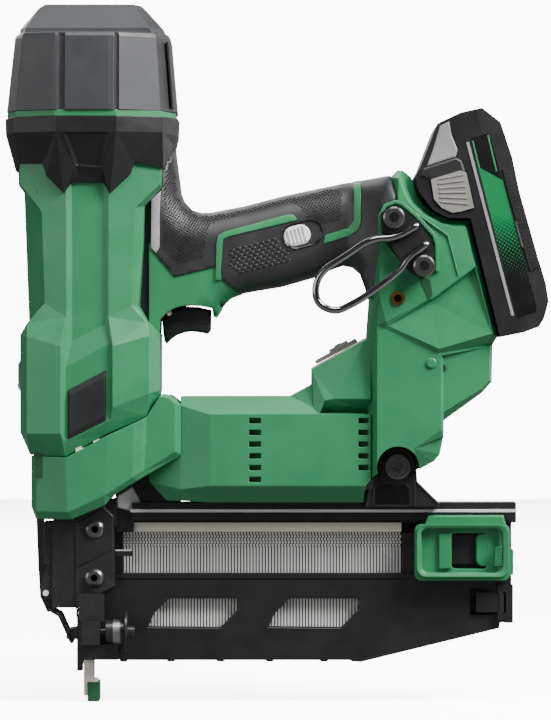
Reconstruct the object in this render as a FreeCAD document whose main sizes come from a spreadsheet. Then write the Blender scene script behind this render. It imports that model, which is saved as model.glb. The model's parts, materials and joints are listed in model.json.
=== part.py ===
import FreeCAD, Part
import math
import os
import re
from FreeCAD import Vector

# Cordless brad nailer.  Millimetres, +Z up.  The origin is the nose tip on the work surface,
# on the drive axis.
# +X runs back towards the battery, -Y is the tool's left side.

doc = FreeCAD.newDocument("BradNailer")
sheet = doc.addObject("Spreadsheet::Sheet", "Dimensions")

DIMENSIONS = {
    # overall stations along the drive axis
    "cap_top": 359, "cap_bottom": 303,
    "cap_center": 1.5, "cap_bottom_width": 43.8, "cap_shoulder_width": 40, "cap_crown_width": 25.5,
    # half widths across the centre plane
    "nose_half": 35, "handle_half": 19, "handle_core": 16.5, "rear_half": 38,
    "pod_half": 30, "rail_half": 11, "nose_block_half": 13, "wall": 2.8,
    # drive
    "cylinder_bore": 17.8, "cylinder_wall": 2.4, "piston_radius": 17.5, "piston_height": 14,
    "piston_floor": 246, "tank_radius": 33.4, "blade_thickness": 1.8, "blade_width": 6, "blade_tip": 89,
    "wheel_pitch_radius": 12.5, "wheel_pins": 8, "pin_radius": 1.5, "wheel_height": 130,
    "gear_teeth": 21, "pinion_teeth": 14, "gear_module": 1, "motor_radius": 23,
    # nails and magazine
    "nail_pitch": 1.6, "nail_count": 100, "nail_first": 1.9,
    # belt hook and battery
    "hook_wire": 3.8, "battery_tilt": 13.6, "battery_half": 38,
    "cell_radius": 9.2, "cell_length": 65, "insert_radius": 3.6,
}
for row, (alias, value) in enumerate(DIMENSIONS.items(), 1):
    sheet.set(f"A{row}", alias)
    sheet.set(f"B{row}", str(value))
    sheet.setAlias(f"B{row}", alias)
doc.recompute()

NODES = {}


def size(alias):
    return float(sheet.get(alias))


def bind(thing, **sizes):
    """Bind properties to expressions written with the sheet's aliases."""
    for name, text in sizes.items():
        text = re.sub(r"[A-Za-z_]{3,}", lambda m: "Dimensions." + m.group(), str(text))
        thing.setExpression(name.replace("__", "."), text)
    return thing


def node(name, thing):
    thing.Label = name
    NODES[name] = thing
    return thing


def plate(name, outline, near, far):
    """A body padded from an outline in the XZ plane, from y = near to y = far."""
    body = doc.addObject("PartDesign::Body", name)
    sketch = body.newObject("Sketcher::SketchObject", name + "_outline")
    plane = [f for f in body.Origin.OriginFeatures if f.Role == "XZ_Plane"][0]
    sketch.AttachmentSupport = [(plane, "")]
    sketch.MapMode = "FlatFace"
    bind(sketch, AttachmentOffset__Base__z=f"-({far})")
    points = [Vector(x, z, 0) for x, z in outline]
    sketch.addGeometry([Part.LineSegment(a, b) for a, b in zip(points, points[1:] + points[:1])], False)
    pad = body.newObject("PartDesign::Pad", name + "_pad")
    pad.Profile = sketch
    bind(pad, Length=f"({far}) - ({near})")
    return body


def turned(name, profile, at=(0, 0, 0), along="z"):
    """A body revolved from (radius, height) points, its axis turned from Z to the given direction."""
    body = doc.addObject("PartDesign::Body", name)
    sketch = body.newObject("Sketcher::SketchObject", name + "_profile")
    plane = [f for f in body.Origin.OriginFeatures if f.Role == "XZ_Plane"][0]
    sketch.AttachmentSupport = [(plane, "")]
    sketch.MapMode = "FlatFace"
    points = [Vector(r, h, 0) for r, h in profile]
    sketch.addGeometry([Part.LineSegment(a, b) for a, b in zip(points, points[1:] + points[:1])], False)
    spin = body.newObject("PartDesign::Revolution", name + "_turn")
    spin.Profile = sketch
    spin.ReferenceAxis = (sketch, ["V_Axis"])
    spin.Angle = 360
    body.Placement = FreeCAD.Placement(Vector(*at), AXIS_TURN[along])
    return body


AXIS_TURN = {
    "z": FreeCAD.Rotation(),
    "x": FreeCAD.Rotation(Vector(0, 1, 0), 90),
    "y": FreeCAD.Rotation(Vector(1, 0, 0), -90),
    "-y": FreeCAD.Rotation(Vector(1, 0, 0), 90),
}


def rod(name, radius, length, at, along="z"):
    """A Part cylinder whose radius and length are expressions, starting at a point."""
    thing = doc.addObject("Part::Cylinder", name)
    thing.Placement = FreeCAD.Placement(Vector(*at), AXIS_TURN[along])
    return bind(thing, Radius=radius, Height=length)


def block(name, low, high):
    """A Part box between two corners; a corner's coordinate may be an expression."""
    thing = doc.addObject("Part::Box", name)
    for axis, prop, a, b in zip("xyz", ("Length", "Width", "Height"), low, high):
        bind(thing, **{prop: f"({b}) - ({a})", "Placement__Base__" + axis: str(a)})
    return thing


def cut(name, base, *tools):
    thing = doc.addObject("Part::Cut", name)
    thing.Base = base
    thing.Tool = tools[0] if len(tools) == 1 else fuse(name + "_tools", *tools)
    return thing


def fuse(name, *pieces):
    thing = doc.addObject("Part::MultiFuse", name)
    thing.Shapes = list(pieces)
    return thing


def group(name, *pieces):
    """Identical or paired separate solids kept in one node."""
    thing = doc.addObject("Part::Compound", name)
    thing.Links = list(pieces)
    return thing


def common(name, *pieces):
    thing = doc.addObject("Part::MultiCommon", name)
    thing.Shapes = list(pieces)
    return thing


def feature(name, shape, at=(0, 0, 0)):
    """A solid made by Part's own functions from sizes read in the sheet."""
    thing = doc.addObject("Part::Feature", name)
    thing.Shape = shape
    thing.Placement = FreeCAD.Placement(Vector(*at), FreeCAD.Rotation())
    return thing


def wire(points):
    return Part.makePolygon([Vector(*p) for p in points] + [Vector(*points[0])])


def facets(sections):
    """A flat-faced solid through equal polygons, each a list of 3-D points."""
    return Part.makeLoft([wire(s) for s in sections], True, True)


def twelve(height, half_width, center):
    """A twelve-sided section with a flat side to the left and right of the tool."""
    radius = half_width / math.cos(math.radians(15))
    turn = [math.radians(15 + 30 * k) for k in range(12)]
    return [(center + radius * math.cos(a), radius * math.sin(a), height) for a in turn]


def octagon(height, front, back, half, chamfer):
    """A rectangular section with its four corners cut off."""
    c = chamfer
    return [(front, -half + c, height), (front + c, -half, height), (back - c, -half, height),
            (back, -half + c, height), (back, half - c, height), (back - c, half, height),
            (front + c, half, height), (front, half - c, height)]


def halves(name, whole):
    """Left (-Y) and right (+Y) shells of a solid, parted on the centre plane."""
    reach = 400
    left = block(name + "_left_space", (-reach, -reach, -reach), (reach, 0, reach))
    right = block(name + "_right_space", (-reach, 0, -reach), (reach, reach, reach))
    node(name + "_left", common(name + "_left", whole, left))
    node(name + "_right", common(name + "_right", whole, right))


def tilted(along, across, origin):
    """A point in the battery's own axes: up along its slide and out from its interface."""
    turn = math.radians(size("battery_tilt"))
    return (origin[0] - along * math.sin(turn) + across * math.cos(turn),
            origin[1] + along * math.cos(turn) + across * math.sin(turn))


# ---- head cap, ring and collar ------------------------------------------------------------------
CX = size("cap_center")
cap_outer = feature("cap_outer", facets([
    twelve(size("cap_bottom"), size("cap_bottom_width"), CX), twelve(342, size("cap_shoulder_width"), CX),
    twelve(344, 39, CX), twelve(347, 37.5, CX), twelve(size("cap_top"), size("cap_crown_width"), CX)]))
cap_bore = rod("cap_bore", "tank_radius + 0.4", 37, (CX, 0, 302))
node("head_cap", cut("head_cap", cap_outer, cap_bore))
ring_outer = feature("ring_outer", facets([twelve(300, 42, CX), twelve(303, 42, CX)]))
ring_bore = rod("ring_bore", "tank_radius + 0.4", 10, (CX, 0, 297))
node("head_ring", cut("head_ring", ring_outer, ring_bore))

collar_outer = feature("collar_outer", facets([
    twelve(276.5, 38.2, CX), twelve(292, 44.3, CX), twelve(300, 44.6, CX)]))
FINGER = [(-23, 277), (-21, 270), (-12, 261), (-9, 266.5), (8, 266.5), (11.5, 261), (22, 271), (24, 277)]
collar_fingers = [plate(f"collar_finger_{side}", FINGER, *span)
                  for side, span in (("left", (-38.2, -36.2)), ("right", (36.2, 38.2)))]
collar_bore = rod("collar_bore", "tank_radius + 0.4", 30, (CX, 0, 275))
node("head_collar", cut("head_collar", fuse("collar_body", collar_outer, *collar_fingers), collar_bore))

# ---- head housing -------------------------------------------------------------------------------
head_sections = [(120, -30, 36.7, 31, 8), (128, -30.5, 36.7, 31, 8), (139, -34.5, 36.7, 34.5, 9),
                 (157, -35, 36.7, 34.5, 9), (189, -35, 36, 34.5, 9), (195, -31, 30.5, 31.5, 8),
                 (205, -31.5, 31, 31.5, 8), (259, -33, 32.5, 32, 9), (266, -36.3, 37, 36, 13),
                 (276.5, -36.5, 37.5, 36, 13)]
head_outer = feature("head_outer", facets([octagon(*s) for s in head_sections]))
SEAM = [(-60, 127), (-29, 127), (-11, 126), (10, 138), (30, 147), (60, 157)]
below_seam = plate("below_seam", SEAM + [(60, 60), (-60, 60)], -60, 60)
head_cavity = feature("head_cavity", facets([octagon(100, -27.8, 27.8, 28.5, 8),
                                             octagon(290, -27.8, 27.8, 28.5, 8)]))
wire_window = block("wire_window", (25, -12, 212), (45, 12, 250))
drive_window = block("drive_window", (20, -33, 105), (45, 26, 148))
pad_room = [plate(f"pad_room_{n}", [(-10.3, 161), (10, 171.5), (10, 145), (-10.3, 135)], a, b)
            for n, a, b in (("left", -36, -33), ("right", 33, 36))]
lamp_room = block("lamp_room", (-40, -9, 156.5), (-31.8, 9, 178))
wheel_room = rod("wheel_room", "wheel_pitch_radius + 2.8", 18, (-9, -17.5, 130), "x")
head_shell = cut("head_shell", head_outer, below_seam, head_cavity, wire_window, drive_window, wheel_room,
                 lamp_room, *pad_room)

# ---- nose housing -------------------------------------------------------------------------------
NOSE = [(-29.3, 127), (-29.3, 101), (-27, 94.5), (-8, 94.5), (9, 102), (12, 106), (25.5, 114.5),
        (44.8, 125.5),
        (44.8, 155.5), (42, 157.5), (37, 158.5), (37, 150.1), (30, 147), (10, 138), (-11, 126), (-29, 127)]
nose_outer = plate("nose_outer", NOSE, "-nose_half", "nose_half")
nose_corner = plate("nose_corner", [(30, 90), (60, 90), (60, 170), (30, 170)], "-nose_half", "nose_half")
nose_slope = feature("nose_slope", facets([
    [(-40, -35, h), (-29.3, -35, h), (10, -35.1, h), (48, -30, h), (48, 30, h), (10, 35.1, h), (-40, 35, h)]
    for h in (80, 180)]))
NOSE_INSIDE = [(-26.5, 124), (-26.5, 103), (-24.5, 97.5), (-8.7, 97.5), (7, 104.5), (10, 108.5),
               (24, 117.4), (42, 127.2), (42, 154), (33, 146), (11, 135), (-11, 123)]
nose_cavity = plate("nose_cavity", NOSE_INSIDE, -32.4, 30)
nose_mouth = block("nose_mouth", (-19.3, -13.3, 90), (13.3, 13.3, 106))
nose_drive = block("nose_drive", (-24, -32.4, 120), (24, 28, 150))
pod_mouth = block("pod_mouth", (35, -26, 126.6), (50, 24, 153))
nose_shell = cut("nose_shell", common("nose_facets", nose_outer, nose_slope), nose_cavity, nose_mouth,
                 nose_drive, pod_mouth, wheel_room, head_outer)

# ---- main housing: handle core, rear block, hump and motor pod ------------------------------------
TRIM_UPPER = [(65.2, 217), (69.2, 217.2), (69.8, 221), (70, 238.5), (105.5, 248.3), (103, 250.3),
              (67.3, 241.2),
              (65.9, 237)]
TRIM_LOWER = [(120.5, 235.5), (136, 240), (139.6, 246.5), (139.6, 269), (136.2, 268.5), (136.2, 247),
              (134, 243.2),
              (121, 239.4)]
CORE = [(37, 199), (44, 203), (63, 203), (63.8, 198.5), (65.5, 197.8), (68.5, 203.5), (72, 207.5), (79, 210),
        (79, 213.5), (100, 217.3), (131, 228), (137, 227), (143, 221), (146, 211), (150, 205), (157, 262),
        (150, 267.3), (131, 264), (100, 257.7), (80, 252.5), (63, 249.3), (52, 250), (37, 251)]
REAR = [(143.2, 188), (144.7, 207), (149.2, 245), (155, 269.5), (158, 273.2), (161, 273), (165.5, 269.5),
        (166.3, 261.5), (174.5, 251.2), (183, 247), (194.7, 247), (209, 187.7), (207, 184), (206.6, 165),
        (201.8, 159.4), (181, 144.4), (181, 136), (180, 128), (177, 122.5), (168, 118), (168, 113),
        (150, 103.5),
        (143.2, 103.5)]
POD = [(45.1, 157.5), (45.1, 125.8), (40.5, 104), (43, 103), (146, 103), (146, 189.5), (143, 187.5),
       (114.5, 172), (114.5, 163.5), (108, 158.6), (103.5, 157.5)]
handle_core = plate("handle_core", CORE, "-handle_core", "handle_core")
trims = [plate(f"trim_{n}", t, f"-{w}", w)
         for n, t, w in (("upper", TRIM_UPPER, "handle_half + 0.6"), ("lower", TRIM_LOWER,
                                        "handle_half + 0.6"))]
rear_outer = plate("rear_outer", REAR, "-rear_half", "rear_half")
rear_slope = feature("rear_slope", facets([
    [(130, -32, h), (146, -34, h), (155, -38, h), (230, -38, h), (230, 38, h), (155, 38, h), (146, 34, h),
     (130, 32, h)] for h in (90, 300)]))
pod_outer = plate("pod_outer", POD, "-pod_half", "pod_half")
BEVEL = 9.5
pod_slope = feature("pod_slope", facets([
    [(x, -w, 111.5), (x, -w, 148), (x, -w + BEVEL, 157.6), (x, -w + BEVEL, 200), (x, w - BEVEL, 200),
     (x, w - BEVEL, 157.6), (x, w, 148), (x, w, 111.5), (x, w - BEVEL, 103), (x, -w + BEVEL, 103)]
    for x, w in ((38, 27.5), (62, 30), (160, 30))]))
main_outer = fuse("main_outer", handle_core, *trims, common("rear_facets", rear_outer, rear_slope),
                  common("pod_facets", pod_outer, pod_slope))
pod_cavity = fuse("pod_cavity", rod("motor_room", "motor_radius + 1", 91, (47, 0, 130), "x"),
                  rod("rear_bearing_room", 5, 5, (137, 0, 130), "x"), rod("shaft_room", 2.5, 10, (137, 0,
                                        130), "x"))
pod_throat = block("pod_throat", (40, -24, 125), (64, 24, 150))
board_room = block("board_room", (146, -33, 128), (176, 33, 178))
hump_room = block("hump_room", (118, -16, 158), (147, 16, 171))
handle_room = feature("handle_room", facets([
    [(40, y, 212), (90, y, 218), (150, y, 232), (150, y, 256), (100, y, 248), (60, y, 240), (40, y, 244)]
    for y in (-13.5, 13.5)]))
rear_room = block("rear_room", (150, -33, 178), (188, 33, 238))
INTERFACE = (209.2, 188)
TERMINAL = [tilted(14, -6.2, INTERFACE), tilted(46, -6.2, INTERFACE), tilted(46, 8, INTERFACE),
            tilted(14, 8, INTERFACE)]
terminal_room = plate("terminal_room", TERMINAL, -15, 15)
trigger_room = block("trigger_room", (36, -8.3, 183), (64.3, 8.3, 210))
LOCK_TILT = 14.5
display_room = plate("display_room", [(117.2, 173.9), (138.4, 185.6), (137.6, 187.2), (116.4, 175.4)],
                     -15.2, 15.2)
insert_bore = rod("insert_bore", "insert_radius", 16.6, (158.2, -45, 207.5), "y")
tail_cuts = [block(f"tail_cut_{n}", (143.8, a, 90), (200, b, 131.8)) for n, a, b in
             (("left", -45, -16), ("right", 16, 45))]
trigger_axle_room = rod("trigger_axle_room", 1.5, 28, (41, -14, 200.5), "y")
tail_bore = rod("tail_bore", 3, 60, (158.5, -30, 121.5), "y")
bolt_bores = [rod(f"bolt_bore_{n}", 3, 21, (x, -45, z), "y") for n, x, z in
              (("upper", 156, 248.3), ("lower", 171.3, 223.7))]
lock_room = feature("lock_room", Part.makeBox(20.8, 40, 12, Vector(-7.4, -30, -6)))
lock_room.Placement = FreeCAD.Placement(Vector(107, 0, 240), FreeCAD.Rotation(Vector(0, 1, 0), -LOCK_TILT))
main_shell = cut("main_shell", main_outer, head_outer, pod_cavity, pod_throat, hump_room, board_room,
                 handle_room,
                 rear_room, terminal_room, trigger_room, display_room, insert_bore, lock_room,
                 tail_bore, trigger_axle_room, *tail_cuts, *bolt_bores)

# ---- housing screws: a stem across the centre plane and a head sunk in the right shell ---------------
SCREWS = [(-24.3, 262, 31, 33.5), (-24.5, 152, 32, 34.5), (25.5, 262, 31, 33.5), (181.5, 172, 35, 38),
          (154, 261, 35, 38)]
screws = []
for k, (x, z, reach, face) in enumerate(SCREWS):
    stem = rod(f"screw_stem_{k}", 1.8, f"{2 * reach - 2}", (x, -reach + 2, z), "y")
    head = rod(f"screw_head_{k}", 3.2, f"{face - reach + 0.6}", (x, reach - 0.6, z), "y")
    screws.append(fuse(f"screw_{k}", stem, head))
halves("head_housing", cut("head_drilled", head_shell, *screws))
halves("nose_housing", nose_shell)
halves("main_housing", cut("main_drilled", main_shell, *screws))

# ---- soft grip: one skin on each side of the handle core ---------------------------------------------
GRIP = [(31, 233), (44.5, 218.7), (64, 223.7), (65.7, 233), (67.5, 233), (67.8, 217.9), (77, 210.2),
        (100, 214.1),
        (117, 219), (126, 223.2), (131, 225), (136, 224), (140, 221), (143.5, 211), (144.7, 207.3),
        (149, 226),
        (149.4, 245), (154.5, 270.5), (140, 269), (131, 267.5), (100, 261), (80, 255.8), (63, 252.5),
        (53, 253.5),
        (49, 258), (47.5, 262), (45.5, 277), (44.6, 286), (39.8, 277), (37.4, 276.3), (37.2, 265),
        (31.6, 258.6)]
grip_outer = plate("grip_outer", GRIP, "-handle_half", "handle_half")
grip_skin = cut("grip_skin", grip_outer, handle_core, head_outer, main_outer, lock_room, trigger_room,
                *bolt_bores, *screws)
grip_sides = [block(f"grip_side_{n}", (-400, a, -400), (400, b, 400)) for n, a, b in
              (("left", -400, 0), ("right", 0, 400))]
node("grip_skins", group("grip_skins", *[common(f"grip_{k}", grip_skin, side) for k,
                                        side in enumerate(grip_sides)]))

# ---- pads, lamp, control panel, insert and hook plate -----------------------------------------------
PAD = [(-10, 160.7), (9.7, 171), (9.7, 145.3), (-10, 135.6)]
node("side_pads", group("side_pads", *[plate(f"side_pad_{n}", PAD, a, b)
                                       for n, a, b in (("left", -35.3, -33), ("right", 33, 35.3))]))
LAMP = [(-37, 165), (-35.3, 160), (-31.8, 157), (-31.8, 177.5), (-34.5, 177.5), (-37, 174)]
node("work_lamp", plate("work_lamp", LAMP, -8.7, 8.7))
PANEL = [(117.4, 174), (138.2, 185.5), (137.2, 187.3), (116.4, 175.8)]
node("control_panel", plate("control_panel", PANEL, -15, 15))
insert_ring = [(2, 0), (3.6, 0), (3.6, 10), (2, 10)]
node("hanging_insert", turned("hanging_insert", insert_ring, (158.2, -38.4, 207.5), "y"))
HOOK_PLATE = [(149.5, 251), (155, 254.5), (160, 253), (169, 246), (174.5, 237), (176, 233), (176.5, 222),
              (171, 217.5), (165, 220), (160, 225), (151, 240), (149.5, 245)]
plate_outer = plate("hook_plate_body", HOOK_PLATE, "-rear_half - 6", "-rear_half")
bolt_stems = [rod(f"hook_bolt_stem_{n}", 3, 20, (x, -44, z), "y") for n, x, z in
              (("upper", 156, 248.3), ("lower", 171.3, 223.7))]
bolt_caps = [turned(f"hook_bolt_cap_{n}", [(0, 0), (5.5, 0), (5.5, 3.8), (4.6, 4.6), (2.6, 4.6), (2.6, 1.8),
                                        (0, 1.8)],
                    (x, -44, z), "-y") for n, x, z in (("upper", 156, 248.3), ("lower", 171.3, 223.7))]
hook_bolts = [fuse(f"hook_bolt_{k}", a, b) for k, (a, b) in enumerate(zip(bolt_stems, bolt_caps))]
node("hook_plate", cut("hook_plate", plate_outer, *bolt_bores))


def bent(points, radius):
    """Straight runs through points, with each corner rounded to a radius."""
    points = [Vector(*p) for p in points]
    edges, start = [], points[0]
    for before, corner, after in zip(points, points[1:], points[2:]):
        a, b = (before - corner).normalize(), (after - corner).normalize()
        half = a.getAngle(b) / 2
        run = radius / math.tan(half)
        middle = (a + b).normalize() * (radius / math.sin(half) - radius)
        edges.append(Part.LineSegment(start, corner + a * run).toShape())
        edges.append(Part.Arc(corner + a * run, corner + middle, corner + b * run).toShape())
        start = corner + b * run
    return edges + [Part.LineSegment(start, points[-1]).toShape()]


def wire_rod(name, edges, radius):
    """A round wire swept along a chain of edges."""
    path = Part.Wire(edges)
    start = path.OrderedVertexes[0].Point
    tangent = path.OrderedEdges[0].tangentAt(path.OrderedEdges[0].FirstParameter)
    ring = Part.Wire(Part.Circle(start, tangent, radius).toShape())
    return feature(name, path.makePipeShell([ring], True, True))


HOOK_Y = -size("rear_half") - 6 - size("hook_wire") / 2
LOOP, LOOP_RADIUS = (127.2, 212.5), 10
upper_end = (LOOP[0] - 0.56 * LOOP_RADIUS, HOOK_Y, LOOP[1] + 0.8285 * LOOP_RADIUS)
lower_end = (LOOP[0] + 0.512 * LOOP_RADIUS, HOOK_Y, LOOP[1] - 0.859 * LOOP_RADIUS)
hook_path = bent([(168.5, HOOK_Y, 244.6), (158, HOOK_Y, 238.2), (145, HOOK_Y, 236.6), upper_end], 6)
hook_path.append(Part.Arc(Vector(*upper_end), Vector(LOOP[0] - LOOP_RADIUS * 0.985, HOOK_Y, LOOP[1] - 1.72),
                          Vector(*lower_end)).toShape())
hook_path += bent([lower_end, (157.5, HOOK_Y, 218.7), (162.5, HOOK_Y, 228), (173.5, HOOK_Y, 235)], 4)
node("belt_hook", wire_rod("belt_hook", hook_path, size("hook_wire") / 2))

# ---- air spring, cylinder and bumper ---------------------------------------------------------------
bore, outer = size("cylinder_bore"), size("cylinder_bore") + size("cylinder_wall")
node("working_cylinder", turned("working_cylinder", [(bore, 157), (outer, 157), (outer, 268), (26.5, 268),
                                        (26.5, 276),
                                                     (bore, 276)]))
base_body = feature("base_body", facets([octagon(150, -27.5, 27.5, 28, 8), octagon(157, -27.5, 27.5, 28, 8)]))
blade_passage = block("blade_passage", (-1.6, -7, 100), (1.6, 3.6, 170))
yoke = block("wheel_yoke", (-16, -28, 121), (-9, 26, 151))
wheel_z, wheel_y = size("wheel_height"), -(size("wheel_pitch_radius") + 5)
yoke_bore = rod("yoke_bore", 8, 8, (-13, wheel_y, wheel_z), "x")
node("drive_frame", cut("drive_frame", fuse("frame_body", base_body, yoke), blade_passage, yoke_bore,
                        *screws))
node("piston_bumper", cut("piston_bumper", rod("bumper_body", "piston_radius", 10.6, (0, 0, 157)),
                          blade_passage))
radius = size("tank_radius")
node("pressure_tank", turned("pressure_tank", [
    (bore, 276.6), (radius, 276.6), (radius, 334), (radius - 4, 338.4), (0, 338.4), (0, 335.8),
    (radius - 5, 335.8),
    (radius - 2.5, 333), (radius - 2.5, 279.4), (bore, 279.4)], (CX, 0, 0)))
floor, high = size("piston_floor"), size("piston_floor") + size("piston_height")
rim = size("piston_radius")
GROOVES = (3, 9)
groove_profile = [(0, floor), (rim, floor)]
for step in GROOVES:
    groove_profile += [(rim, floor + step), (rim - 2, floor + step), (rim - 2, floor + step + 2),
                       (rim, floor + step + 2)]
piston_profile = groove_profile + [(rim, high), (6, high), (6, high - 5), (0, high - 5)]
node("piston", turned("piston", piston_profile))
node("piston_rings", group("piston_rings", *[turned(f"piston_ring_{k}", [
    (rim - 2, floor + g), (rim, floor + g), (rim, floor + g + 2), (rim - 2, floor + g + 2)])
    for k, g in enumerate(GROOVES)]))

# ---- driver blade and the wheel that lifts it ---------------------------------------------------------
pitch = 2 * math.pi * size("wheel_pitch_radius") / size("wheel_pins")
blade_bar = block("blade_bar", ("-blade_thickness / 2", "-blade_width / 2", "blade_tip"),
                  ("blade_thickness / 2", "blade_width / 2", "piston_floor"))
lugs = [block(f"blade_lug_{k}", ("-blade_thickness / 2", -6, wheel_z + pitch * (k + 0.5) - 1.5),
              ("blade_thickness / 2", -2.9, wheel_z + pitch * (k + 0.5) + 1.5)) for k in range(8)]
node("driver_blade", fuse("driver_blade", blade_bar, *lugs))
discs = [rod(f"wheel_disc_{k}", "wheel_pitch_radius + 2.2", 3, (x, wheel_y, wheel_z), "x") for k,
         x in ((0, -6), (1, 3))]
pins = [rod(f"wheel_pin_{k}", "pin_radius", 12, (-6, wheel_y + 12.5 * math.cos(2 * math.pi * k / 8),
                                              wheel_z + 12.5 * math.sin(2 * math.pi * k / 8)),
                                        "x") for k in range(8)]
wheel_hub = rod("wheel_hub", 5, 12, (-6, wheel_y, wheel_z), "x")
wheel_axle = rod("wheel_axle", 3, 37, (-13, wheel_y, wheel_z), "x")
node("lifting_wheel", fuse("lifting_wheel", wheel_hub, wheel_axle, *discs, *pins))


def spur(teeth, module, thickness, bore_radius, turn):
    """A straight spur gear with its axis along X, flanks at twenty degrees and a little backlash."""
    pitch_radius = teeth * module / 2
    half = [(-1.2, 0.98), (0, 0.70), (0.9, 0.32)]
    outline = []
    for k in range(teeth):
        middle = turn + 2 * math.pi * k / teeth
        flank = [(pitch_radius + module * rise, module * width / pitch_radius) for rise, width in half]
        outline += [(r, middle - w) for r, w in flank] + [(r, middle + w) for r, w in reversed(flank)]
    section = wire([(0, r * math.cos(a), r * math.sin(a)) for r, a in outline])
    solid = Part.Face(section).extrude(Vector(thickness, 0, 0))
    return solid.cut(Part.makeCylinder(bore_radius, thickness, Vector(), Vector(1, 0, 0)))


teeth, small = int(size("gear_teeth")), int(size("pinion_teeth"))
node("drive_gear", feature("drive_gear", spur(teeth, size("gear_module"), 6, 3, 0), (14, wheel_y, wheel_z)))
pinion_teeth = feature("pinion_teeth", spur(small, size("gear_module"), 6, 3, math.pi + math.pi / small),
                       (14, 0, wheel_z))
pinion_shaft = rod("pinion_shaft", 3, 40, (12, 0, wheel_z), "x")
node("drive_pinion", fuse("drive_pinion", pinion_teeth, pinion_shaft))

# ---- gearbox and motor, on one axis inside the pod ----------------------------------------------------
node("gearbox", turned("gearbox", [(3.05, 47.5), (22, 47.5), (22, 80), (2.05, 80), (2.05, 53), (3.05, 53)],
                       (0, 0, wheel_z), "x"))
motor = size("motor_radius")
STATOR = [(5, 81.5), (motor, 81.5), (motor, 120), (14.2, 120), (14.2, 92), (20, 92), (20, 84), (5, 84)]
node("motor_stator", turned("motor_stator", STATOR, (0, 0, wheel_z), "x"))
BEARINGS = [("axle_front", wheel_y, -13, 3.03, 8, 4), ("axle_rear", wheel_y, 20.3, 3.03, 8, 3.6),
            ("motor_front", 0, 81.5, 2.03, 5, 2.5), ("motor_rear", 0, 138, 2.03, 5, 4)]
node("bearings", group("bearings", *[turned(f"{n}_bearing", [(r, 0), (ring, 0), (ring, deep), (r, deep)],
                                            (x, y, wheel_z), "x") for n, y, x, r, ring, deep in BEARINGS]))
rotor_body = turned("rotor_body", [(0, 55), (2, 55), (2, 90), (13.7, 90), (13.7, 118), (2, 118), (2, 142),
                                   (0, 142)],
                    (0, 0, wheel_z), "x")
fan_hub = turned("fan_hub", [(2, 126), (6, 126), (6, 134), (2, 134)], (0, 0, wheel_z), "x")
fan_plate = turned("fan_plate", [(5, 126), (21, 126), (21, 127.5), (5, 127.5)], (0, 0, wheel_z), "x")
vanes = []
for k in range(9):
    vane = feature(f"fan_vane_turned_{k}", Part.makeBox(7, 15, 1.4, Vector(127, 5, -0.7)))
    vane.Placement = FreeCAD.Placement(Vector(0, 0, wheel_z), FreeCAD.Rotation(Vector(1, 0, 0), 40 * k))
    vanes.append(vane)
node("motor_rotor", fuse("motor_rotor", rotor_body, fan_hub, fan_plate, *vanes))

# ---- electrics ---------------------------------------------------------------------------------------
node("controller_board", block("controller_board", (150, -30, 140), (154, 30, 174)))
node("trigger_switch", block("trigger_switch", (44, -7.5, 216), (66, 7.5, 229)))
terminal = [tilted(14, -6.1, INTERFACE), tilted(46, -6.1, INTERFACE), tilted(46, 6, INTERFACE),
            tilted(14, 6, INTERFACE)]
node("terminal_block", plate("terminal_block", terminal, -14.5, 14.5))

# ---- trigger and safety slide ----------------------------------------------------------------------
TRIGGER_PIVOT = (41, 200.5)
TRIGGER = [(37.4, 197), (38.5, 186), (39.5, 184.4), (45, 189), (52, 190.8), (57, 190.3), (61, 189.5),
           (62.6, 191.5),
           (62.8, 202), (56, 203.6), (48, 203.8), (41, 202.5)]
trigger_body = plate("trigger_body", TRIGGER, -7.6, 7.6)
trigger_pin = rod("trigger_pin", 1.5, 28, (TRIGGER_PIVOT[0], -14, TRIGGER_PIVOT[1]), "y")
node("trigger", cut("trigger", trigger_body, rod("trigger_bore", 1.55, 20, (TRIGGER_PIVOT[0], -10,
                                        TRIGGER_PIVOT[1]),
                                                 "y")))
slide_turn = FreeCAD.Rotation(Vector(0, 1, 0), -LOCK_TILT)
slide_shape = Part.makeBox(3.4, 4.4, 10.6, Vector(-1.7, -4.4, -5.3))
for end in (-1.7, 1.7):
    slide_shape = slide_shape.fuse(Part.makeCylinder(5.3, 4.4, Vector(end, -4.4, 0), Vector(0, 1, 0)))
# the slide is 14 mm long and its window is longer by the travel
lock_slide = feature("lock_slide", slide_shape.removeSplitter())
lock_slide.Placement = FreeCAD.Placement(Vector(107, -16, 240), slide_turn)
node("lock_slide", lock_slide)

# ---- nose ------------------------------------------------------------------------------------------
NOSE_REAR = [(-7, 47.5), (-4, 50), (13, 60), (13, 96.5), (8, 101.5), (-7, 94)]
channel = block("channel", (-1.2, -6.4, 40), (1.3, 3.4, 110))
nail_gate = block("nail_gate", (1.2, -2, 45), (14, 2, 91.5))
nose_rear = cut("nose_rear", plate("nose_rear_body", NOSE_REAR, "-nose_block_half", "nose_block_half"),
                channel, nail_gate)
NOSE_FRONT = [(-10.5, 48.5), (-7, 48.5), (-7, 93.5), (-19, 93.5), (-19, 68), (-10.5, 68)]
NOSE_CHEEK = [(-19, 48.5), (-7, 48.5), (-7, 68), (-19, 68)]
front_solids = [plate("front_core", NOSE_FRONT, -12.4, 12.4), plate("front_cheek_left", NOSE_CHEEK, -12.4,
                                        -11.2),
                plate("front_cheek_right", NOSE_CHEEK, 11.2, 12.4)]
guide_body = block("guide_body", (-3.45, -6, 19.4), (1.3, 6, 47.5))
hinge_ears = [block(f"door_hinge_{n}", (-7, a, 43.5), (-3, b, 47.5)) for n, a, b in
              (("left", -8.4, -5.8), ("right", 5.8, 8.4))]
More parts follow.
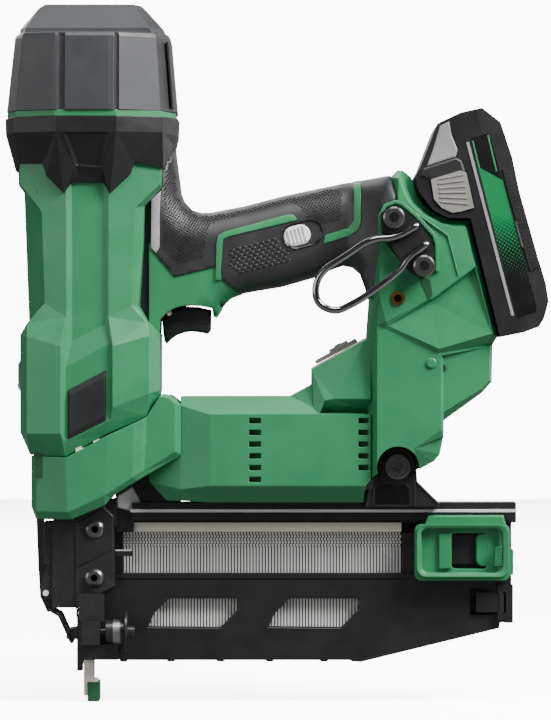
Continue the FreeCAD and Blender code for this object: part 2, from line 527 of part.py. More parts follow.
guide = cut("drive_guide", fuse("guide_solid", guide_body, *hinge_ears),
            block("guide_channel", (-1.2, -3.4, 10), (5, 3.4, 47.6)),
            rod("door_hinge_bore", 1, 24, (-5.2, -12, 45.5), "y"))
node("nose_block", fuse("nose_block", nose_rear, guide))
nose_bolts = [turned(f"nose_bolt_{side}_{k}", [
    (0, 0), (4.4, 0), (4.4, 2), (3.4, 2.8), (1.8, 2.8), (1.8, 1), (0, 1)], (x, 13 * sign, z), along)
    for side, sign, along in (("left", -1, "-y"), ("right", 1, "y")) for k, (x, z) in enumerate(((3, 89),
                                        (2.7, 64)))]

# latch lever on its bracket, the wire bail it pulls and the nose door that the bail holds shut
LEVER_PIVOT = (-22.5, 56)
BAIL_PIVOT = (-20.5, 47.5)
LEVER = [(-19, 46), (-19, 49), (-19.6, 60), (-23.5, 70), (-24.2, 93.5), (-27.5, 94), (-26.6, 70), (-25.6, 54),
         (-22, 46)]
lever_pin = rod("lever_pin", 1.5, 24, (LEVER_PIVOT[0], -12, LEVER_PIVOT[1]), "y")
lever_bore = rod("lever_bore", 1.55, 24, (LEVER_PIVOT[0], -12, LEVER_PIVOT[1]), "y")
ear_bore = rod("ear_bore", 1.5, 24, (LEVER_PIVOT[0], -12, LEVER_PIVOT[1]), "y")
bail_bore = rod("bail_bore", 1.05, 24, (BAIL_PIVOT[0], -12, BAIL_PIVOT[1]), "y")
node("latch_lever", cut("latch_lever", plate("lever_body", LEVER, -7, 7), lever_bore, bail_bore))
EAR = [(-25, 53), (-19, 53), (-19, 74), (-21, 74), (-25, 60)]
lever_ears = [plate("lever_ear_left", EAR, -11, -7.5), plate("lever_ear_right", EAR, 7.5, 11)]
node("front_block", cut("front_block", fuse("front_body", *front_solids, *lever_ears), ear_bore))
BAIL_HALF = 9.6
bail_side = [BAIL_PIVOT, (-15.4, 44.5), (-12, 37), (-9.3, 30.8)]
bail_points = [(-20.5, 0, 47.5)] + [(x, -BAIL_HALF, z) for x, z in bail_side] + [
    (x, BAIL_HALF, z) for x, z in reversed(bail_side)] + [(-20.5, 0.6, 47.5)]
node("wire_bail", wire_rod("wire_bail", bent(bail_points, 1.6), 1))
DOOR_PIVOT = (-5.2, 45.5)
DOOR_EAR = [(-6.7, 32), (-12, 32), (-12, 37), (-6.7, 38)]
door_bore = rod("door_bore", 1.05, 24, (DOOR_PIVOT[0], -12, DOOR_PIVOT[1]), "y")
node("nose_door", cut("nose_door", fuse("door_body", block("door_plate", (-6.7, -5.5, 15.5),
                                        (-3.9, 5.5, 46.5)),
                                        plate("door_ear_left", DOOR_EAR, -8, -5.3),
                                        plate("door_ear_right", DOOR_EAR, 5.3, 8)), door_bore))
door_pin = rod("door_pin", 1, 16.8, (DOOR_PIVOT[0], -8.4, DOOR_PIVOT[1]), "y")

# ---- contact arm, its soft tip and the depth dial that rides on it --------------------------------------
strips = [block(f"arm_strip_{n}", (-3, a, 3), (2, b, 31)) for n, a, b in (("left", -8.7, -6.5), ("right",
                                        6.5, 8.7))]
foot = block("arm_foot", (1.6, -8.7, 3), (4, 8.7, 11))
node("contact_arm", fuse("contact_arm", *strips, foot))
tip_body = block("tip_body", (-1, -9.7, 0), (5, 9.7, 10))
tip_way = block("tip_way", (-2, -3.2, -1), (3, 3.2, 11))
node("soft_tip", cut("soft_tip", tip_body, tip_way, foot, *strips))
DIAL_AXIS = (-17.5, 36.5)
carrier_body = fuse("carrier_body", block("carrier_low", (-3.5, -18, 22), (15, -8.7, 30)),
                    block("carrier_nut", (-3.5, -23, 30), (6, -13.4, 42)),
                    block("carrier_plate", (-5, -18.5, 42), (8, -16.5, 56)))
node("depth_carrier", cut("depth_carrier", carrier_body, rod("dial_bore", 2.05, 20, (-10, *DIAL_AXIS), "x")))
node("depth_dial", turned("depth_dial", [(0, -1), (2, -1), (2, 9), (6, 9), (6, 18), (3, 18), (3, 18.8),
                                        (10.3, 18.8),
                                         (10.3, 20), (3, 20), (3, 23.5), (0, 23.5)], (0, *DIAL_AXIS), "x"))

# ---- magazine --------------------------------------------------------------------------------------
LOWER_EDGE = [(134, 21), (140, 20), (211.5, 37.5), (212, 40.5), (218.3, 40.5)]
rail = block("magazine_rail", (22, "-rail_half", 92.3), (220, "rail_half", 102.5))
wall = plate("magazine_wall", [(14, 21)] + LOWER_EDGE + [(218.3, 92.3), (14, 92.3)], 2.2, 6)
lip = plate("magazine_lip", [(14, 21), (134, 21), (140, 20), (211.5, 37.5), (211, 40.4), (140, 23),
                             (134, 24), (14, 24)],
            -2.2, 2.2)
node("magazine_body", fuse("magazine_body", rail, wall, lip))
cover = plate("cover_plate", [(16, 21)] + LOWER_EDGE + [(218.3, 60), (212, 66), (16, 66)], -6, -2.2)
WINDOW = [(30.5, 38.5), (33, 45), (40.5, 53), (76, 53), (77, 51), (76.5, 47), (68, 38)]
windows = [plate(f"cover_window_{k}", [(x + 62.3 * k, z) for x, z in WINDOW], -8, 0) for k in (0, 1)]
stop_room = block("stop_room", (196.5, -8, 44.5), (214.7, 0, 58.5))
node("nail_rail", block("nail_rail", (13.5, -5.5, 87.3), (161, 2.1, 92.3)))
first, count, step = size("nail_first"), size("nail_count"), size("nail_pitch")
strip_end = first + step * (count - 1) + step / 2
nails = fuse("nail_strip", block("nail_shanks", (first - step / 2, -0.7, 27), (strip_end, 0.7, 86)),
             block("nail_heads", (first - step / 2, -1.4, 85.6), (strip_end, 1.4, 87)))
node("nail_strip", nails)
FRONT_ARM = [(14, 106), (22, 111), (26, 103.5), (37, 102.5), (22, 102.5), (22, 97.5), (19, 98)]
front_arm = plate("front_arm", FRONT_ARM, -9, 9)
BRACKET = [(144, 98), (144, 112), (148.6, 118.6), (151.4, 125.6), (158, 130.9), (165.6, 126.6), (168, 118.8),
           (173.6, 111.8), (180, 98)]
arms = [plate(f"bracket_arm_{n}", BRACKET, a, b) for n, a, b in (("left", -19.5, -16), ("right", 16, 19.5))]
feet = [block(f"bracket_foot_{n}", (144, a, 98), (180, b, 102.4)) for n, a, b in (("left", -19, -11),
                                        ("right", 11, 19))]
rear_bracket = cut("rear_bracket", fuse("bracket_body", *arms, *feet), rod("bracket_bore", 3, 60, (158.5,
                                        -30, 121.5), "y"))
node("magazine_brackets", group("magazine_brackets", front_arm, rear_bracket))
bolt = turned("bracket_bolt", [(0, 0), (3, 0), (3, 39), (6.2, 39), (6.2, 42.5), (5.2, 43.4), (2.4, 43.4),
                               (2.4, 40.8),
                               (0, 40.8)], (158.5, 19.5, 121.5), "-y")
node("screws_and_bolts", group("screws_and_bolts", bolt, *nose_bolts, *hook_bolts, *screws))
STOP_PIN = (212.5, -7.4)
stop_pin = rod("nail_stop_pin", 1, 16.5, (*STOP_PIN, 42.5))
stop_bore = rod("stop_bore", 1.05, 30, (*STOP_PIN, 35))
node("nail_stop", cut("nail_stop", fuse("stop_lever", block("stop_plate", (199.5, -8.4, 46),
                                        (212.5, -6.4, 56)),
                                        rod("stop_barrel", 1.9, 10, (*STOP_PIN, 46))), stop_bore))
stop_bracket = fuse("stop_bracket_body", block("stop_bracket_back", (214.8, -9.5, 40.5), (218.5, -6, 60)),
                    block("stop_lug_low", (210.5, -9.5, 42), (215, -6, 45.7)),
                    block("stop_lug_high", (210.5, -9.5, 56.3), (215, -6, 60)))
node("magazine_cover", cut("magazine_cover", fuse("cover_body", cut("cover_cut", cover, stop_room,
                                        *windows), stop_bracket),
                           rod("stop_lug_bore", 1, 30, (*STOP_PIN, 35))))
node("hinge_pins", group("hinge_pins", trigger_pin, lever_pin, door_pin, stop_pin))

# ---- pusher ----------------------------------------------------------------------------------------
PUSHER = [(167.5, 62.5), (216, 62.5), (218.5, 66), (218.5, 91.8), (167.5, 91.8)]
PUSHER_TOP = [(172, 91), (214.5, 91), (213, 96.3), (174.5, 96.3)]
finger_hole = block("finger_hole", (186.5, -30, 68.5), (205, 0, 87))
node("pusher", cut("pusher", fuse("pusher_body", plate("pusher_plate", PUSHER, -18.5, -6.5),
                                  plate("pusher_tab", PUSHER_TOP, -18.5, -11.3)), finger_hole))
foot_body = fuse("foot_body", block("foot_shoe", (strip_end + 0.3, -6.5, 66.4), (198.5, 1.9, 86.9)),
                 block("foot_tongue", (186.6, -9, 71), (198.5, -6.5, 86)))
node("pusher_foot", cut("pusher_foot", foot_body, rod("roll_room", 6.3, 10, (174, -5, 76.6), "y")))
node("pusher_spring", turned("pusher_spring", [(2.5, 0), (6.1, 0), (6.1, 6.4), (2.5, 6.4)],
                             (174, -4.8, 76.6), "y"))

# ---- battery ---------------------------------------------------------------------------------------
PACK = tilted(0, 0.3, INTERFACE)
BATTERY = [(210.2, 187.7), (222, 190), (230, 193), (232.5, 197), (235, 206), (233.5, 215), (229, 230),
           (220, 262),
           (216.5, 279), (210.5, 297), (201, 304.5), (190, 302), (178.5, 296.5), (177, 293), (170, 275),
           (167.3, 270),
           (168.7, 262), (176.3, 252.3), (184, 248.3), (195.2, 248.3)]
CELLS = [(5.5, 7), (101, 7), (101, 20), (97, 26), (11, 26), (5.5, 20)]
battery_outer = plate("battery_outer", BATTERY, "-battery_half", "battery_half")
cell_room = plate("cell_room", [tilted(a, c, PACK) for a, c in CELLS], -35, 35)
terminal_slot = plate("terminal_slot", [tilted(a, c, PACK) for a, c in ((-10, -3), (47, -3), (47, 6.2),
                                        (-10, 6.2))],
                      -15.2, 15.2)
BUTTON = [(175, 268), (190, 272.5), (193, 271.5), (197, 253.5), (190, 251.5), (186, 251), (180.5, 253.5),
          (176.5, 258)]
middle = (186, 261)


def grown(outline, center, by):
    """An outline scaled about a centre so that it stands off by about a gap."""
    reach = max(math.dist(p, center) for p in outline)
    k = 1 + by / reach
    return [(center[0] + (x - center[0]) * k, center[1] + (z - center[1]) * k) for x, z in outline]


button_rooms = [plate(f"button_room_{n}", grown(BUTTON, middle, 0.8), a, b) for n, a, b in
                (("left", -40, -31), ("right", 31, 40))]
battery_shell = cut("battery_shell", battery_outer, cell_room, terminal_slot, *button_rooms)
inner_side = plate("inner_side", [tilted(a, c, PACK) for a, c in ((-30, -60), (150, -60), (150, 16),
                                        (-30, 16))], -60, 60)
node("battery_inner_case", common("battery_inner_case", battery_shell, inner_side))
BUMPER = [(211.5, 273.5), (216.6, 275.5), (219.6, 262), (230.2, 224), (225.5, 221.5), (215, 259)]
bumpers = [plate(f"battery_bumper_{n}", BUMPER, a, b) for n, a, b in (("left", -38.8, -37), ("right", 37,
                                        38.8))]
outer_half = cut("outer_half", battery_shell, inner_side)
node("battery_outer_case", fuse("battery_outer_case", outer_half, *bumpers))
node("battery_cells", group("battery_cells", *[rod(f"battery_cell_{k}", "cell_radius", "cell_length", (
    tilted(15.5 + 19 * k, 16.5, PACK)[0], -size("cell_length") / 2, tilted(15.5 + 19 * k, 16.5, PACK)[1]),
    "y")
    for k in range(5)]))
for side, low, high in (("left", -38.8, -34.6), ("right", 34.6, 38.8)):
    node(f"battery_button_{side}", plate(f"battery_button_{side}", BUTTON, low, high))

# ---- check and write -------------------------------------------------------------------------------
doc.recompute()
for thing in doc.Objects:
    if "Invalid" in thing.State or "Error" in thing.State:
        raise SystemExit(f"{thing.Name} failed: {thing.State}")
for name, thing in NODES.items():
    shape = thing.Shape
    if shape.isNull() or not shape.isValid() or not shape.Solids:
        raise SystemExit(f"{name} has no valid solid")
os.makedirs("parts", exist_ok=True)
for name, thing in NODES.items():
    thing.Shape.exportStep(f"parts/{name}.step")
print(len(NODES), "nodes written")
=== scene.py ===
import json
import math

import bmesh
import bpy
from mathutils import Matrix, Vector


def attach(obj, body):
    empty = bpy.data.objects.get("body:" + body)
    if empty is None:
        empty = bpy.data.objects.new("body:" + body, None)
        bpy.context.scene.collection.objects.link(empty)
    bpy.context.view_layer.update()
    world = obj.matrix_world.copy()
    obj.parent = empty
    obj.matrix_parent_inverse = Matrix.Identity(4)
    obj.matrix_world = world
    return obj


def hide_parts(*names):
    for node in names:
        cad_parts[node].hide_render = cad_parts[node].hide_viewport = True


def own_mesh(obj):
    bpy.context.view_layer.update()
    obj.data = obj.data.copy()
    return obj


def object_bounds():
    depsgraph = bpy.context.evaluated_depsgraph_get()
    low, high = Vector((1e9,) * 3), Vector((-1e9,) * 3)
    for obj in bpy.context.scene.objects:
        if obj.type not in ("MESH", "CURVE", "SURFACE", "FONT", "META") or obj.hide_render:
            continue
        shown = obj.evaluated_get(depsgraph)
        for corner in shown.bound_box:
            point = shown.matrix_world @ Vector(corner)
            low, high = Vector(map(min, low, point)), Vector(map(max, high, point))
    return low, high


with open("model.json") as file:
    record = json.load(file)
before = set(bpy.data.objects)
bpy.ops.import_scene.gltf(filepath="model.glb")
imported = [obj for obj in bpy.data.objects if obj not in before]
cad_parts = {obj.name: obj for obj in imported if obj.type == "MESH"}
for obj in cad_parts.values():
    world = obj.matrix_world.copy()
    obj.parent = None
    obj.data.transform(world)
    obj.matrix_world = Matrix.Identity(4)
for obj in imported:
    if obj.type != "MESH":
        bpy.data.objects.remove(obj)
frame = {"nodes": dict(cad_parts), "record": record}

# Cordless brad nailer.  Shapes are given in millimetres in the CAD frame: x back along the handle, z up the
# drive axis, and a depth that is counted outwards from the centre plane on either side.
cad_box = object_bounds()
MM = 0.001
NODES = frame["nodes"]
LEFT, RIGHT = -1, 1
SIDES = {LEFT: "left", RIGHT: "right"}


# ---- materials ---------------------------------------------------------------------------------------
def linear(r, g, b):
    """A colour seen on screen, 0 to 255, as linear light."""
    def one(c):
        c /= 255
        return c / 12.92 if c <= 0.04045 else ((c + 0.055) / 1.055) ** 2.4
    return one(r), one(g), one(b), 1.0


class Paint:
    """Builds one node material around a Principled shader."""

    def __init__(self, name, metallic=0.0, specular=0.5, coat=0.0):
        self.material = bpy.data.materials.new(name)
        self.material.use_nodes = True
        self.tree = self.material.node_tree
        self.shader = self.tree.nodes["Principled BSDF"]
        self.shader.inputs["Metallic"].default_value = metallic
        self.shader.inputs["Specular IOR Level"].default_value = specular
        self.shader.inputs["Coat Weight"].default_value = coat
        self.place = self.node("ShaderNodeTexCoord").outputs["Object"]

    def node(self, kind, **values):
        made = self.tree.nodes.new(kind)
        for name, value in values.items():
            if name in made.inputs:
                made.inputs[name].default_value = value
            else:
                setattr(made, name, value)
        return made

    def link(self, a, b):
        self.tree.links.new(a, b)
        return self

    def noise(self, scale, detail=3.0, stretch=None):
        made = self.node("ShaderNodeTexNoise", Scale=scale, Detail=detail)
        source = self.place
        if stretch:
            mapping = self.node("ShaderNodeMapping", Scale=stretch)
            self.link(source, mapping.inputs["Vector"])
            source = mapping.outputs["Vector"]
        self.link(source, made.inputs["Vector"])
        return made.outputs["Fac"]

    def spread(self, value, low, high, start=0.3, end=0.7):
        """Carries a value that runs from start to end over to one that runs from low to high."""
        made = self.node("ShaderNodeMapRange")
        for socket, number in (("From Min", start), ("From Max", end), ("To Min", low), ("To Max", high)):
            made.inputs[socket].default_value = number
        self.link(value, made.inputs["Value"])
        return made.outputs["Result"]

    def maths(self, operation, *values):
        """A Math node fed by sockets and plain numbers."""
        made = self.node("ShaderNodeMath", operation=operation)
        for socket, value in zip(made.inputs, values):
            if isinstance(value, float):
                socket.default_value = value
            else:
                self.link(value, socket)
        return made.outputs["Value"]

    def colour(self, dark, light, scale=40.0, detail=4.0, stretch=None):
        """A base colour that drifts a little between two tones."""
        ramp = self.node("ShaderNodeValToRGB")
        for stop, position, tone in zip(ramp.color_ramp.elements, (0.35, 0.65), (dark, light)):
            stop.position = position
            stop.color = tone
        self.link(self.noise(scale, detail, stretch), ramp.inputs["Fac"])
        self.link(ramp.outputs["Color"], self.shader.inputs["Base Color"])
        return self

    def gloss(self, low, high, scale=120.0):
        self.link(self.spread(self.noise(scale), low, high), self.shader.inputs["Roughness"])
        return self

    def bump(self, scale, strength, distance=0.0001, stretch=None):
        """A fine surface relief from noise."""
        made = self.node("ShaderNodeBump", Strength=strength, Distance=distance)
        self.link(self.noise(scale, 2.0, stretch), made.inputs["Height"])
        self.link(made.outputs["Normal"], self.shader.inputs["Normal"])
        return self


def moulded(name, dark, light, rough, grain=2600.0, strength=0.12, specular=0.5, coat=0.0):
    """Moulded plastic: a spark-eroded grain, a faint drift of tone and of gloss."""
    paint = Paint(name, specular=specular, coat=coat)
    paint.colour(linear(*dark), linear(*light)).gloss(rough - 0.04, rough + 0.06)
    return paint.bump(grain, strength).material


def metal(name, dark, light, rough, stretch=(1, 1, 1), strength=0.08, metallic=1.0):
    """Machined or drawn metal: fine streaks and a slight change of gloss."""
    paint = Paint(name, metallic=metallic)
    paint.colour(linear(*dark), linear(*light), 90.0, 3.0, stretch).gloss(rough - 0.03, rough + 0.05, 300.0)
    if strength:
        paint.bump(1800.0, strength, 0.00005, stretch)
    return paint.material


def label_finish():
    """The battery's label: a black head, a green field and a net of cells that fades to black below."""
    paint = Paint("battery_label")
    split = paint.node("ShaderNodeSeparateXYZ")
    paint.link(paint.place, split.inputs["Vector"])
    x, z = split.outputs["X"], split.outputs["Z"]
    cells = paint.node("ShaderNodeTexVoronoi", Scale=640.0, Randomness=0.0, feature="DISTANCE_TO_EDGE")
    lay = paint.node("ShaderNodeMapping", Rotation=(0, math.radians(45 + 13.6), 0), Scale=(1, 0, 1))
    paint.link(paint.place, lay.inputs["Vector"]).link(lay.outputs["Vector"], cells.inputs["Vector"])
    fade = paint.spread(z, 0.55, -0.02, 0.210, 0.252)
    net = paint.maths("LESS_THAN", cells.outputs["Distance"], fade)
    head = paint.maths("GREATER_THAN", paint.maths("MULTIPLY_ADD", x, 0.55, z), 0.3838)
    tones = paint.node("ShaderNodeMix", data_type="RGBA")
    tones.inputs["A"].default_value = linear(16, 118, 66)
    tones.inputs["B"].default_value = linear(12, 12, 13)
    paint.link(paint.maths("MAXIMUM", net, head), tones.inputs["Factor"])
    paint.link(tones.outputs["Result"], paint.shader.inputs["Base Color"])
    return paint.gloss(0.3, 0.38).material


MATERIAL = {
    "green_housing": moulded("green_moulding", (40, 122, 77), (46, 130, 83), 0.40),
    "green_shade": moulded("green_pusher_plastic", (36, 120, 74), (42, 128, 80), 0.38),
    "black_housing": moulded("black_moulding", (19, 19, 20), (25, 25, 26), 0.42),
    "cap_black": moulded("cap_black_moulding", (50, 51, 53), (56, 57, 59), 0.44),
    "black_satin": moulded("black_satin_moulding", (26, 26, 27), (33, 33, 34), 0.44),
    # black gloss for the lock's bezel, also used as painted shade in a groove, a crease, a recess and a
    # bore
    "black_gloss": moulded("black_gloss_trim_and_painted_shade", (7, 7, 8), (11, 11, 12), 0.22, strength=0.03),
    "black_elastomer": moulded("black_elastomer", (29, 29, 30), (37, 37, 37), 0.46, 1400.0, 0.2, 0.7),
    "grey_elastomer": moulded("grey_elastomer", (150, 145, 148), (160, 155, 158), 0.6, 1400.0, 0.2),
    "pale_slider": moulded("pale_slider_plastic", (226, 228, 226), (240, 240, 238), 0.38, strength=0.05),
    "grey_plastic": moulded("grey_button_plastic", (122, 120, 114), (136, 134, 128), 0.46),
    "light_grey": moulded("light_grey_plate", (130, 130, 132), (142, 142, 144), 0.46),
    "rail_line": moulded("pale_rail_edge", (206, 204, 202), (216, 214, 212), 0.40),
    # a dark green that paints the shade in the groove by the hook plate and behind the housing's seam
    "green_painted_shade": moulded("green_in_shadow", (14, 66, 36), (18, 74, 42), 0.5),
    "bumper_grey": moulded("battery_bumper", (74, 74, 76), (84, 84, 86), 0.6, 1400.0, 0.2),
    "green_soft": moulded("soft_green_tip", (20, 74, 44), (26, 86, 52), 0.55, 1600.0, 0.2),
    "bumper_rubber": moulded("damper_rubber", (58, 46, 30), (70, 56, 38), 0.6),
    "board": moulded("board_laminate", (12, 66, 38), (18, 78, 44), 0.4),
    "copper": metal("copper_winding", (160, 92, 54), (178, 104, 62), 0.35, (1, 30, 30)),
    "brass": metal("turned_brass", (190, 132, 70), (206, 150, 86), 0.26, (30, 1, 30)),
    "aluminium": metal("cast_aluminium", (150, 150, 152), (160, 160, 162), 0.40),
    "bright_steel": metal("bright_steel", (236, 231, 216), (240, 236, 222), 0.36, (1, 40, 1), 0.0, 0.12),
    "nail_steel": metal("nail_steel", (226, 226, 223), (232, 232, 228), 0.34, (1, 1, 1), 0.0, 0.12),
    "blackened_steel": metal("blackened_steel", (62, 62, 64), (70, 70, 72), 0.34, (1, 1, 1), 0.05, 0.7),
    "bolt_steel": metal("bolt_steel", (112, 111, 112), (120, 119, 120), 0.28, (1, 1, 1), 0.0, 0.9),
    "hook_steel": metal("hook_steel", (140, 140, 142), (148, 148, 150), 0.15, (1, 1, 1), 0.0, 1.0),
    "lamp_lens": moulded("lamp_lens", (190, 196, 198), (206, 210, 212), 0.10, strength=0.02, coat=0.5),
    "battery_label": label_finish(),
}


def finish(piece, key):
    """One material for the whole piece."""
    piece.data.materials.clear()
    piece.data.materials.append(MATERIAL[key])


# ---- mesh helpers ------------------------------------------------------------------------------------
WELD = 1e-4


def made(name, bm, key, body="housing", node=None, slot=None, smooth=False, bevel=0.0, angle=25):
    """Turns a bmesh in millimetres into a piece that rides on a body and may stand for a CAD node."""
    bmesh.ops.remove_doubles(bm, verts=bm.verts, dist=WELD)
    bmesh.ops.recalc_face_normals(bm, faces=bm.faces)
    bmesh.ops.scale(bm, vec=Vector((MM, MM, MM)), verts=bm.verts)
    mesh = bpy.data.meshes.new(name)
    bm.to_mesh(mesh)
    bm.free()
    mesh.polygons.foreach_set("use_smooth", [smooth] * len(mesh.polygons))
    piece = bpy.data.objects.new(name, mesh)
    bpy.context.scene.collection.objects.link(piece)
    if bevel:
        soften(piece, bevel, angle)
    finish(piece, key)
    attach(piece, body)
    if node:
        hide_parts(node)
    return piece


def soften(piece, width, angle):
    """Rounds the piece's hard edges by a width in millimetres."""
    rounded = piece.modifiers.new("edge_rounding", "BEVEL")
    rounded.width = width * MM
    rounded.segments = 2
    rounded.limit_method = "ANGLE"
    rounded.angle_limit = math.radians(angle)
    rounded.use_clamp_overlap = True


def stitch(bm, lower, upper):
    """Walls between two rings of vertices."""
    for k in range(len(lower)):
        j = (k + 1) % len(lower)
        bm.faces.new((lower[k], lower[j], upper[j], upper[k]))


def loft(bm, sections):
    """A closed solid through equal rings of 3-D points."""
    rings = [[bm.verts.new(p) for p in ring] for ring in sections]
    for lower, upper in zip(rings, rings[1:]):
        stitch(bm, lower, upper)
    bm.faces.new(list(reversed(rings[0])))
    bm.faces.new(rings[-1])


def prism(bm, outline, near, far):
    """A closed solid from an XZ outline between two values of y."""
    front = [bm.verts.new((x, near, z)) for x, z in outline]
    back = [bm.verts.new((x, far, z)) for x, z in outline]
    bm.faces.new(front)
    bm.faces.new(list(reversed(back)))
    stitch(bm, front, back)


def slab(name, outline, near, far, key, **more):
    """A flat solid from an XZ outline between two values of y."""
    bm = bmesh.new()
    prism(bm, outline, near, far)
    return made(name, bm, key, **more)


def tiered(name, tiers, side, key, **more):
    """A solid through equal XZ outlines, each at its own depth."""
    bm = bmesh.new()
    loft(bm, [[(x, side * depth, z) for x, z in outline] for outline, depth in tiers])
    return made(name, bm, key, **more)


def rimmed(name, outer, inner, low, high, side, key, inner_high=None, **more):
    """A closed frame between two equal XZ outlines, standing from one depth to another."""
    bm = bmesh.new()
    tops = ((outer, low), (outer, high), (inner, inner_high or high), (inner, low))
    loops = [[bm.verts.new((x, side * d, z)) for x, z in outline] for outline, d in tops]
    for a, b in zip(loops, loops[1:] + loops[:1]):
        stitch(bm, a, b)
    return made(name, bm, key, **more)


def lathe(bm, profile, at, axis, count=48):
    """A closed turned solid from (radius, along) points about an axis through a point."""
    axis, at = Vector(axis).normalized(), Vector(at)
    side = axis.orthogonal().normalized()
    up = axis.cross(side)
    turns = [2 * math.pi * k / count for k in range(count)]
    loft(bm, [[at + axis * h + side * (r * math.cos(a)) + up * (r * math.sin(a)) for a in turns]
              for r, h in profile])


def turned(name, profile, at, axis, key, count=48, **more):
    """A lone turned solid."""
    bm = bmesh.new()
    lathe(bm, profile, at, axis, count)
    return made(name, bm, key, **more)


def relief(name, points, faces, side, key, carve=(), bevel=0.45, **more):
    """Half a shell: faceted skin through named (x, z, depth) points, walled back to the centre plane."""
    gap = 0.12
    bm = bmesh.new()
    verts = {k: bm.verts.new((x, side * d, z)) for k, (x, z, d) in points.items()}
    for face in faces.split(","):
        bm.faces.new([verts[k] for k in face.split()])
    open_edges = [e for e in bm.edges if len(e.link_faces) == 1]
    twins = {}
    for edge in open_edges:
        for v in edge.verts:
            if v not in twins:
                twins[v] = bm.verts.new((v.co.x, side * gap, v.co.z))
    for edge in open_edges:
        a, b = edge.verts
        bm.faces.new((a, b, twins[b], twins[a]))
    inner = [e for e in bm.edges if len(e.link_faces) == 1]
    bmesh.ops.holes_fill(bm, edges=inner, sides=0)
    bmesh.ops.recalc_face_normals(bm, faces=bm.faces)
    bmesh.ops.triangulate(bm, faces=[f for f in bm.faces if len(f.verts) > 4])
    for cutter in carve:
        subtract(bm, cutter)
    bmesh.ops.dissolve_limit(bm, angle_limit=math.radians(1.5), verts=bm.verts, edges=bm.edges)
    return made(name, bm, key, bevel=bevel, angle=12, **more)


def subtract(bm, cutter):
    """Takes a cutter, given as a function that fills a bmesh, away from a bmesh."""
    tool = bmesh.new()
    cutter(tool)
    objects = []
    for k, part in enumerate((bm, tool)):
        bmesh.ops.recalc_face_normals(part, faces=part.faces)
        mesh = bpy.data.meshes.new(f"carving_{k}")
        part.to_mesh(mesh)
        objects.append(bpy.data.objects.new(f"carving_{k}", mesh))
        bpy.context.scene.collection.objects.link(objects[k])
    cut = objects[0].modifiers.new("cut", "BOOLEAN")
    cut.operation = "DIFFERENCE"
    cut.solver = "EXACT"
    cut.object = objects[1]
    result = objects[0].evaluated_get(bpy.context.evaluated_depsgraph_get()).to_mesh()
    bm.clear()
    bm.from_mesh(result)
    tool.free()
    for thing in objects:
        mesh = thing.data
        bpy.data.objects.remove(thing)
        bpy.data.meshes.remove(mesh)
    bmesh.ops.remove_doubles(bm, verts=bm.verts, dist=WELD)


def gridded(outline, step, rings):
    """A flat bmesh of an XZ outline, inset along its edge and cut on a square grid."""
    bm = bmesh.new()
    bm.faces.new([bm.verts.new((x, 0, z)) for x, z in outline])
    core = list(bm.faces)
    for width in rings:
        bmesh.ops.inset_region(bm, faces=core, thickness=width, use_even_offset=True)
    for axis, values in (Vector((1, 0, 0)), [x for x, _ in outline]), (Vector((0, 0, 1)),
            [z for _, z in outline]):
        low, high = min(values), max(values)
        for k in range(1, int((high - low) / step)):
            bmesh.ops.bisect_plane(bm, geom=bm.verts[:] + bm.edges[:] + bm.faces[:],
                                   plane_co=axis * (low + step * k), plane_no=axis, dist=WELD)
    return bm


def draped(name, outline, depth, side, key, lift, thick, step, rings, **more):
    """A skin that follows a depth function of (x, z), standing proud by a lift, as a closed solid."""
    bm = gridded(outline, step, rings)
    top = list(bm.faces)
    for v in bm.verts:
        v.co.y = depth(v.co.x, v.co.z) + lift
    back = bmesh.ops.extrude_face_region(bm, geom=top)
    for moved in back["geom"]:
        if isinstance(moved, bmesh.types.BMVert):
            moved.co.y = max(moved.co.y - lift - thick, 0.05)
    bmesh.ops.scale(bm, vec=Vector((1, side, 1)), verts=bm.verts)
    return made(name, bm, key, smooth=True, **more)


def strip(path, width):
    """The outline of a band of a given width along an open chain of XZ points."""
    left, right = [], []
    for k, (x, z) in enumerate(path):
        x0, z0 = path[max(k - 1, 0)]
        x1, z1 = path[min(k + 1, len(path) - 1)]
        run = math.hypot(x1 - x0, z1 - z0)
        nx, nz = -(z1 - z0) / run * width / 2, (x1 - x0) / run * width / 2
        left.append((x + nx, z + nz))
        right.append((x - nx, z - nz))
    return left + right[::-1]


def inset(outline, by):
    """An XZ outline moved inwards by a distance, corner by corner."""
    turn = sum(a[0] * b[1] - b[0] * a[1] for a, b in zip(outline, outline[1:] + outline[:1]))
    sign = 1 if turn > 0 else -1
    moved = []
    for k, p in enumerate(outline):
        a, b = Vector(outline[k - 1]), Vector(outline[(k + 1) % len(outline)])
        p = Vector(p)
        u, v = (p - a).normalized(), (b - p).normalized()
        nu, nv = Vector((-u.y, u.x)) * sign, Vector((-v.y, v.x)) * sign
        middle = (nu + nv).normalized()
        moved.append(tuple(p + middle * (by / max(middle.dot(nu), 0.4))))
    return moved


def rect(x0, z0, x1, z1):
    """The outline of a rectangle from one corner to the other."""
    return [(x0, z0), (x1, z0), (x1, z1), (x0, z1)]


def arc(x, z, radius, degrees):
    """Points on a circle at some angles."""
    return [(x + radius * math.cos(math.radians(a)), z + radius * math.sin(math.radians(a)))
        for a in degrees]


def rounded(x0, z0, x1, z1, r, steps=5):
    """The outline of a rectangle with rounded corners."""
    corners = ((x1 - r, z0 + r, -90), (x1 - r, z1 - r, 0), (x0 + r, z1 - r, 90), (x0 + r, z0 + r, 180))
    return [p for x, z, start in corners
            for p in arc(x, z, r, [start + 90 * k / steps for k in range(steps + 1)])]


def tilt(outline, centre, degrees):
    """An outline given about the origin, turned and moved to a centre."""
    cos, sin = math.cos(math.radians(degrees)), math.sin(math.radians(degrees))
    return [(centre[0] + x * cos - z * sin, centre[1] + x * sin + z * cos) for x, z in outline]


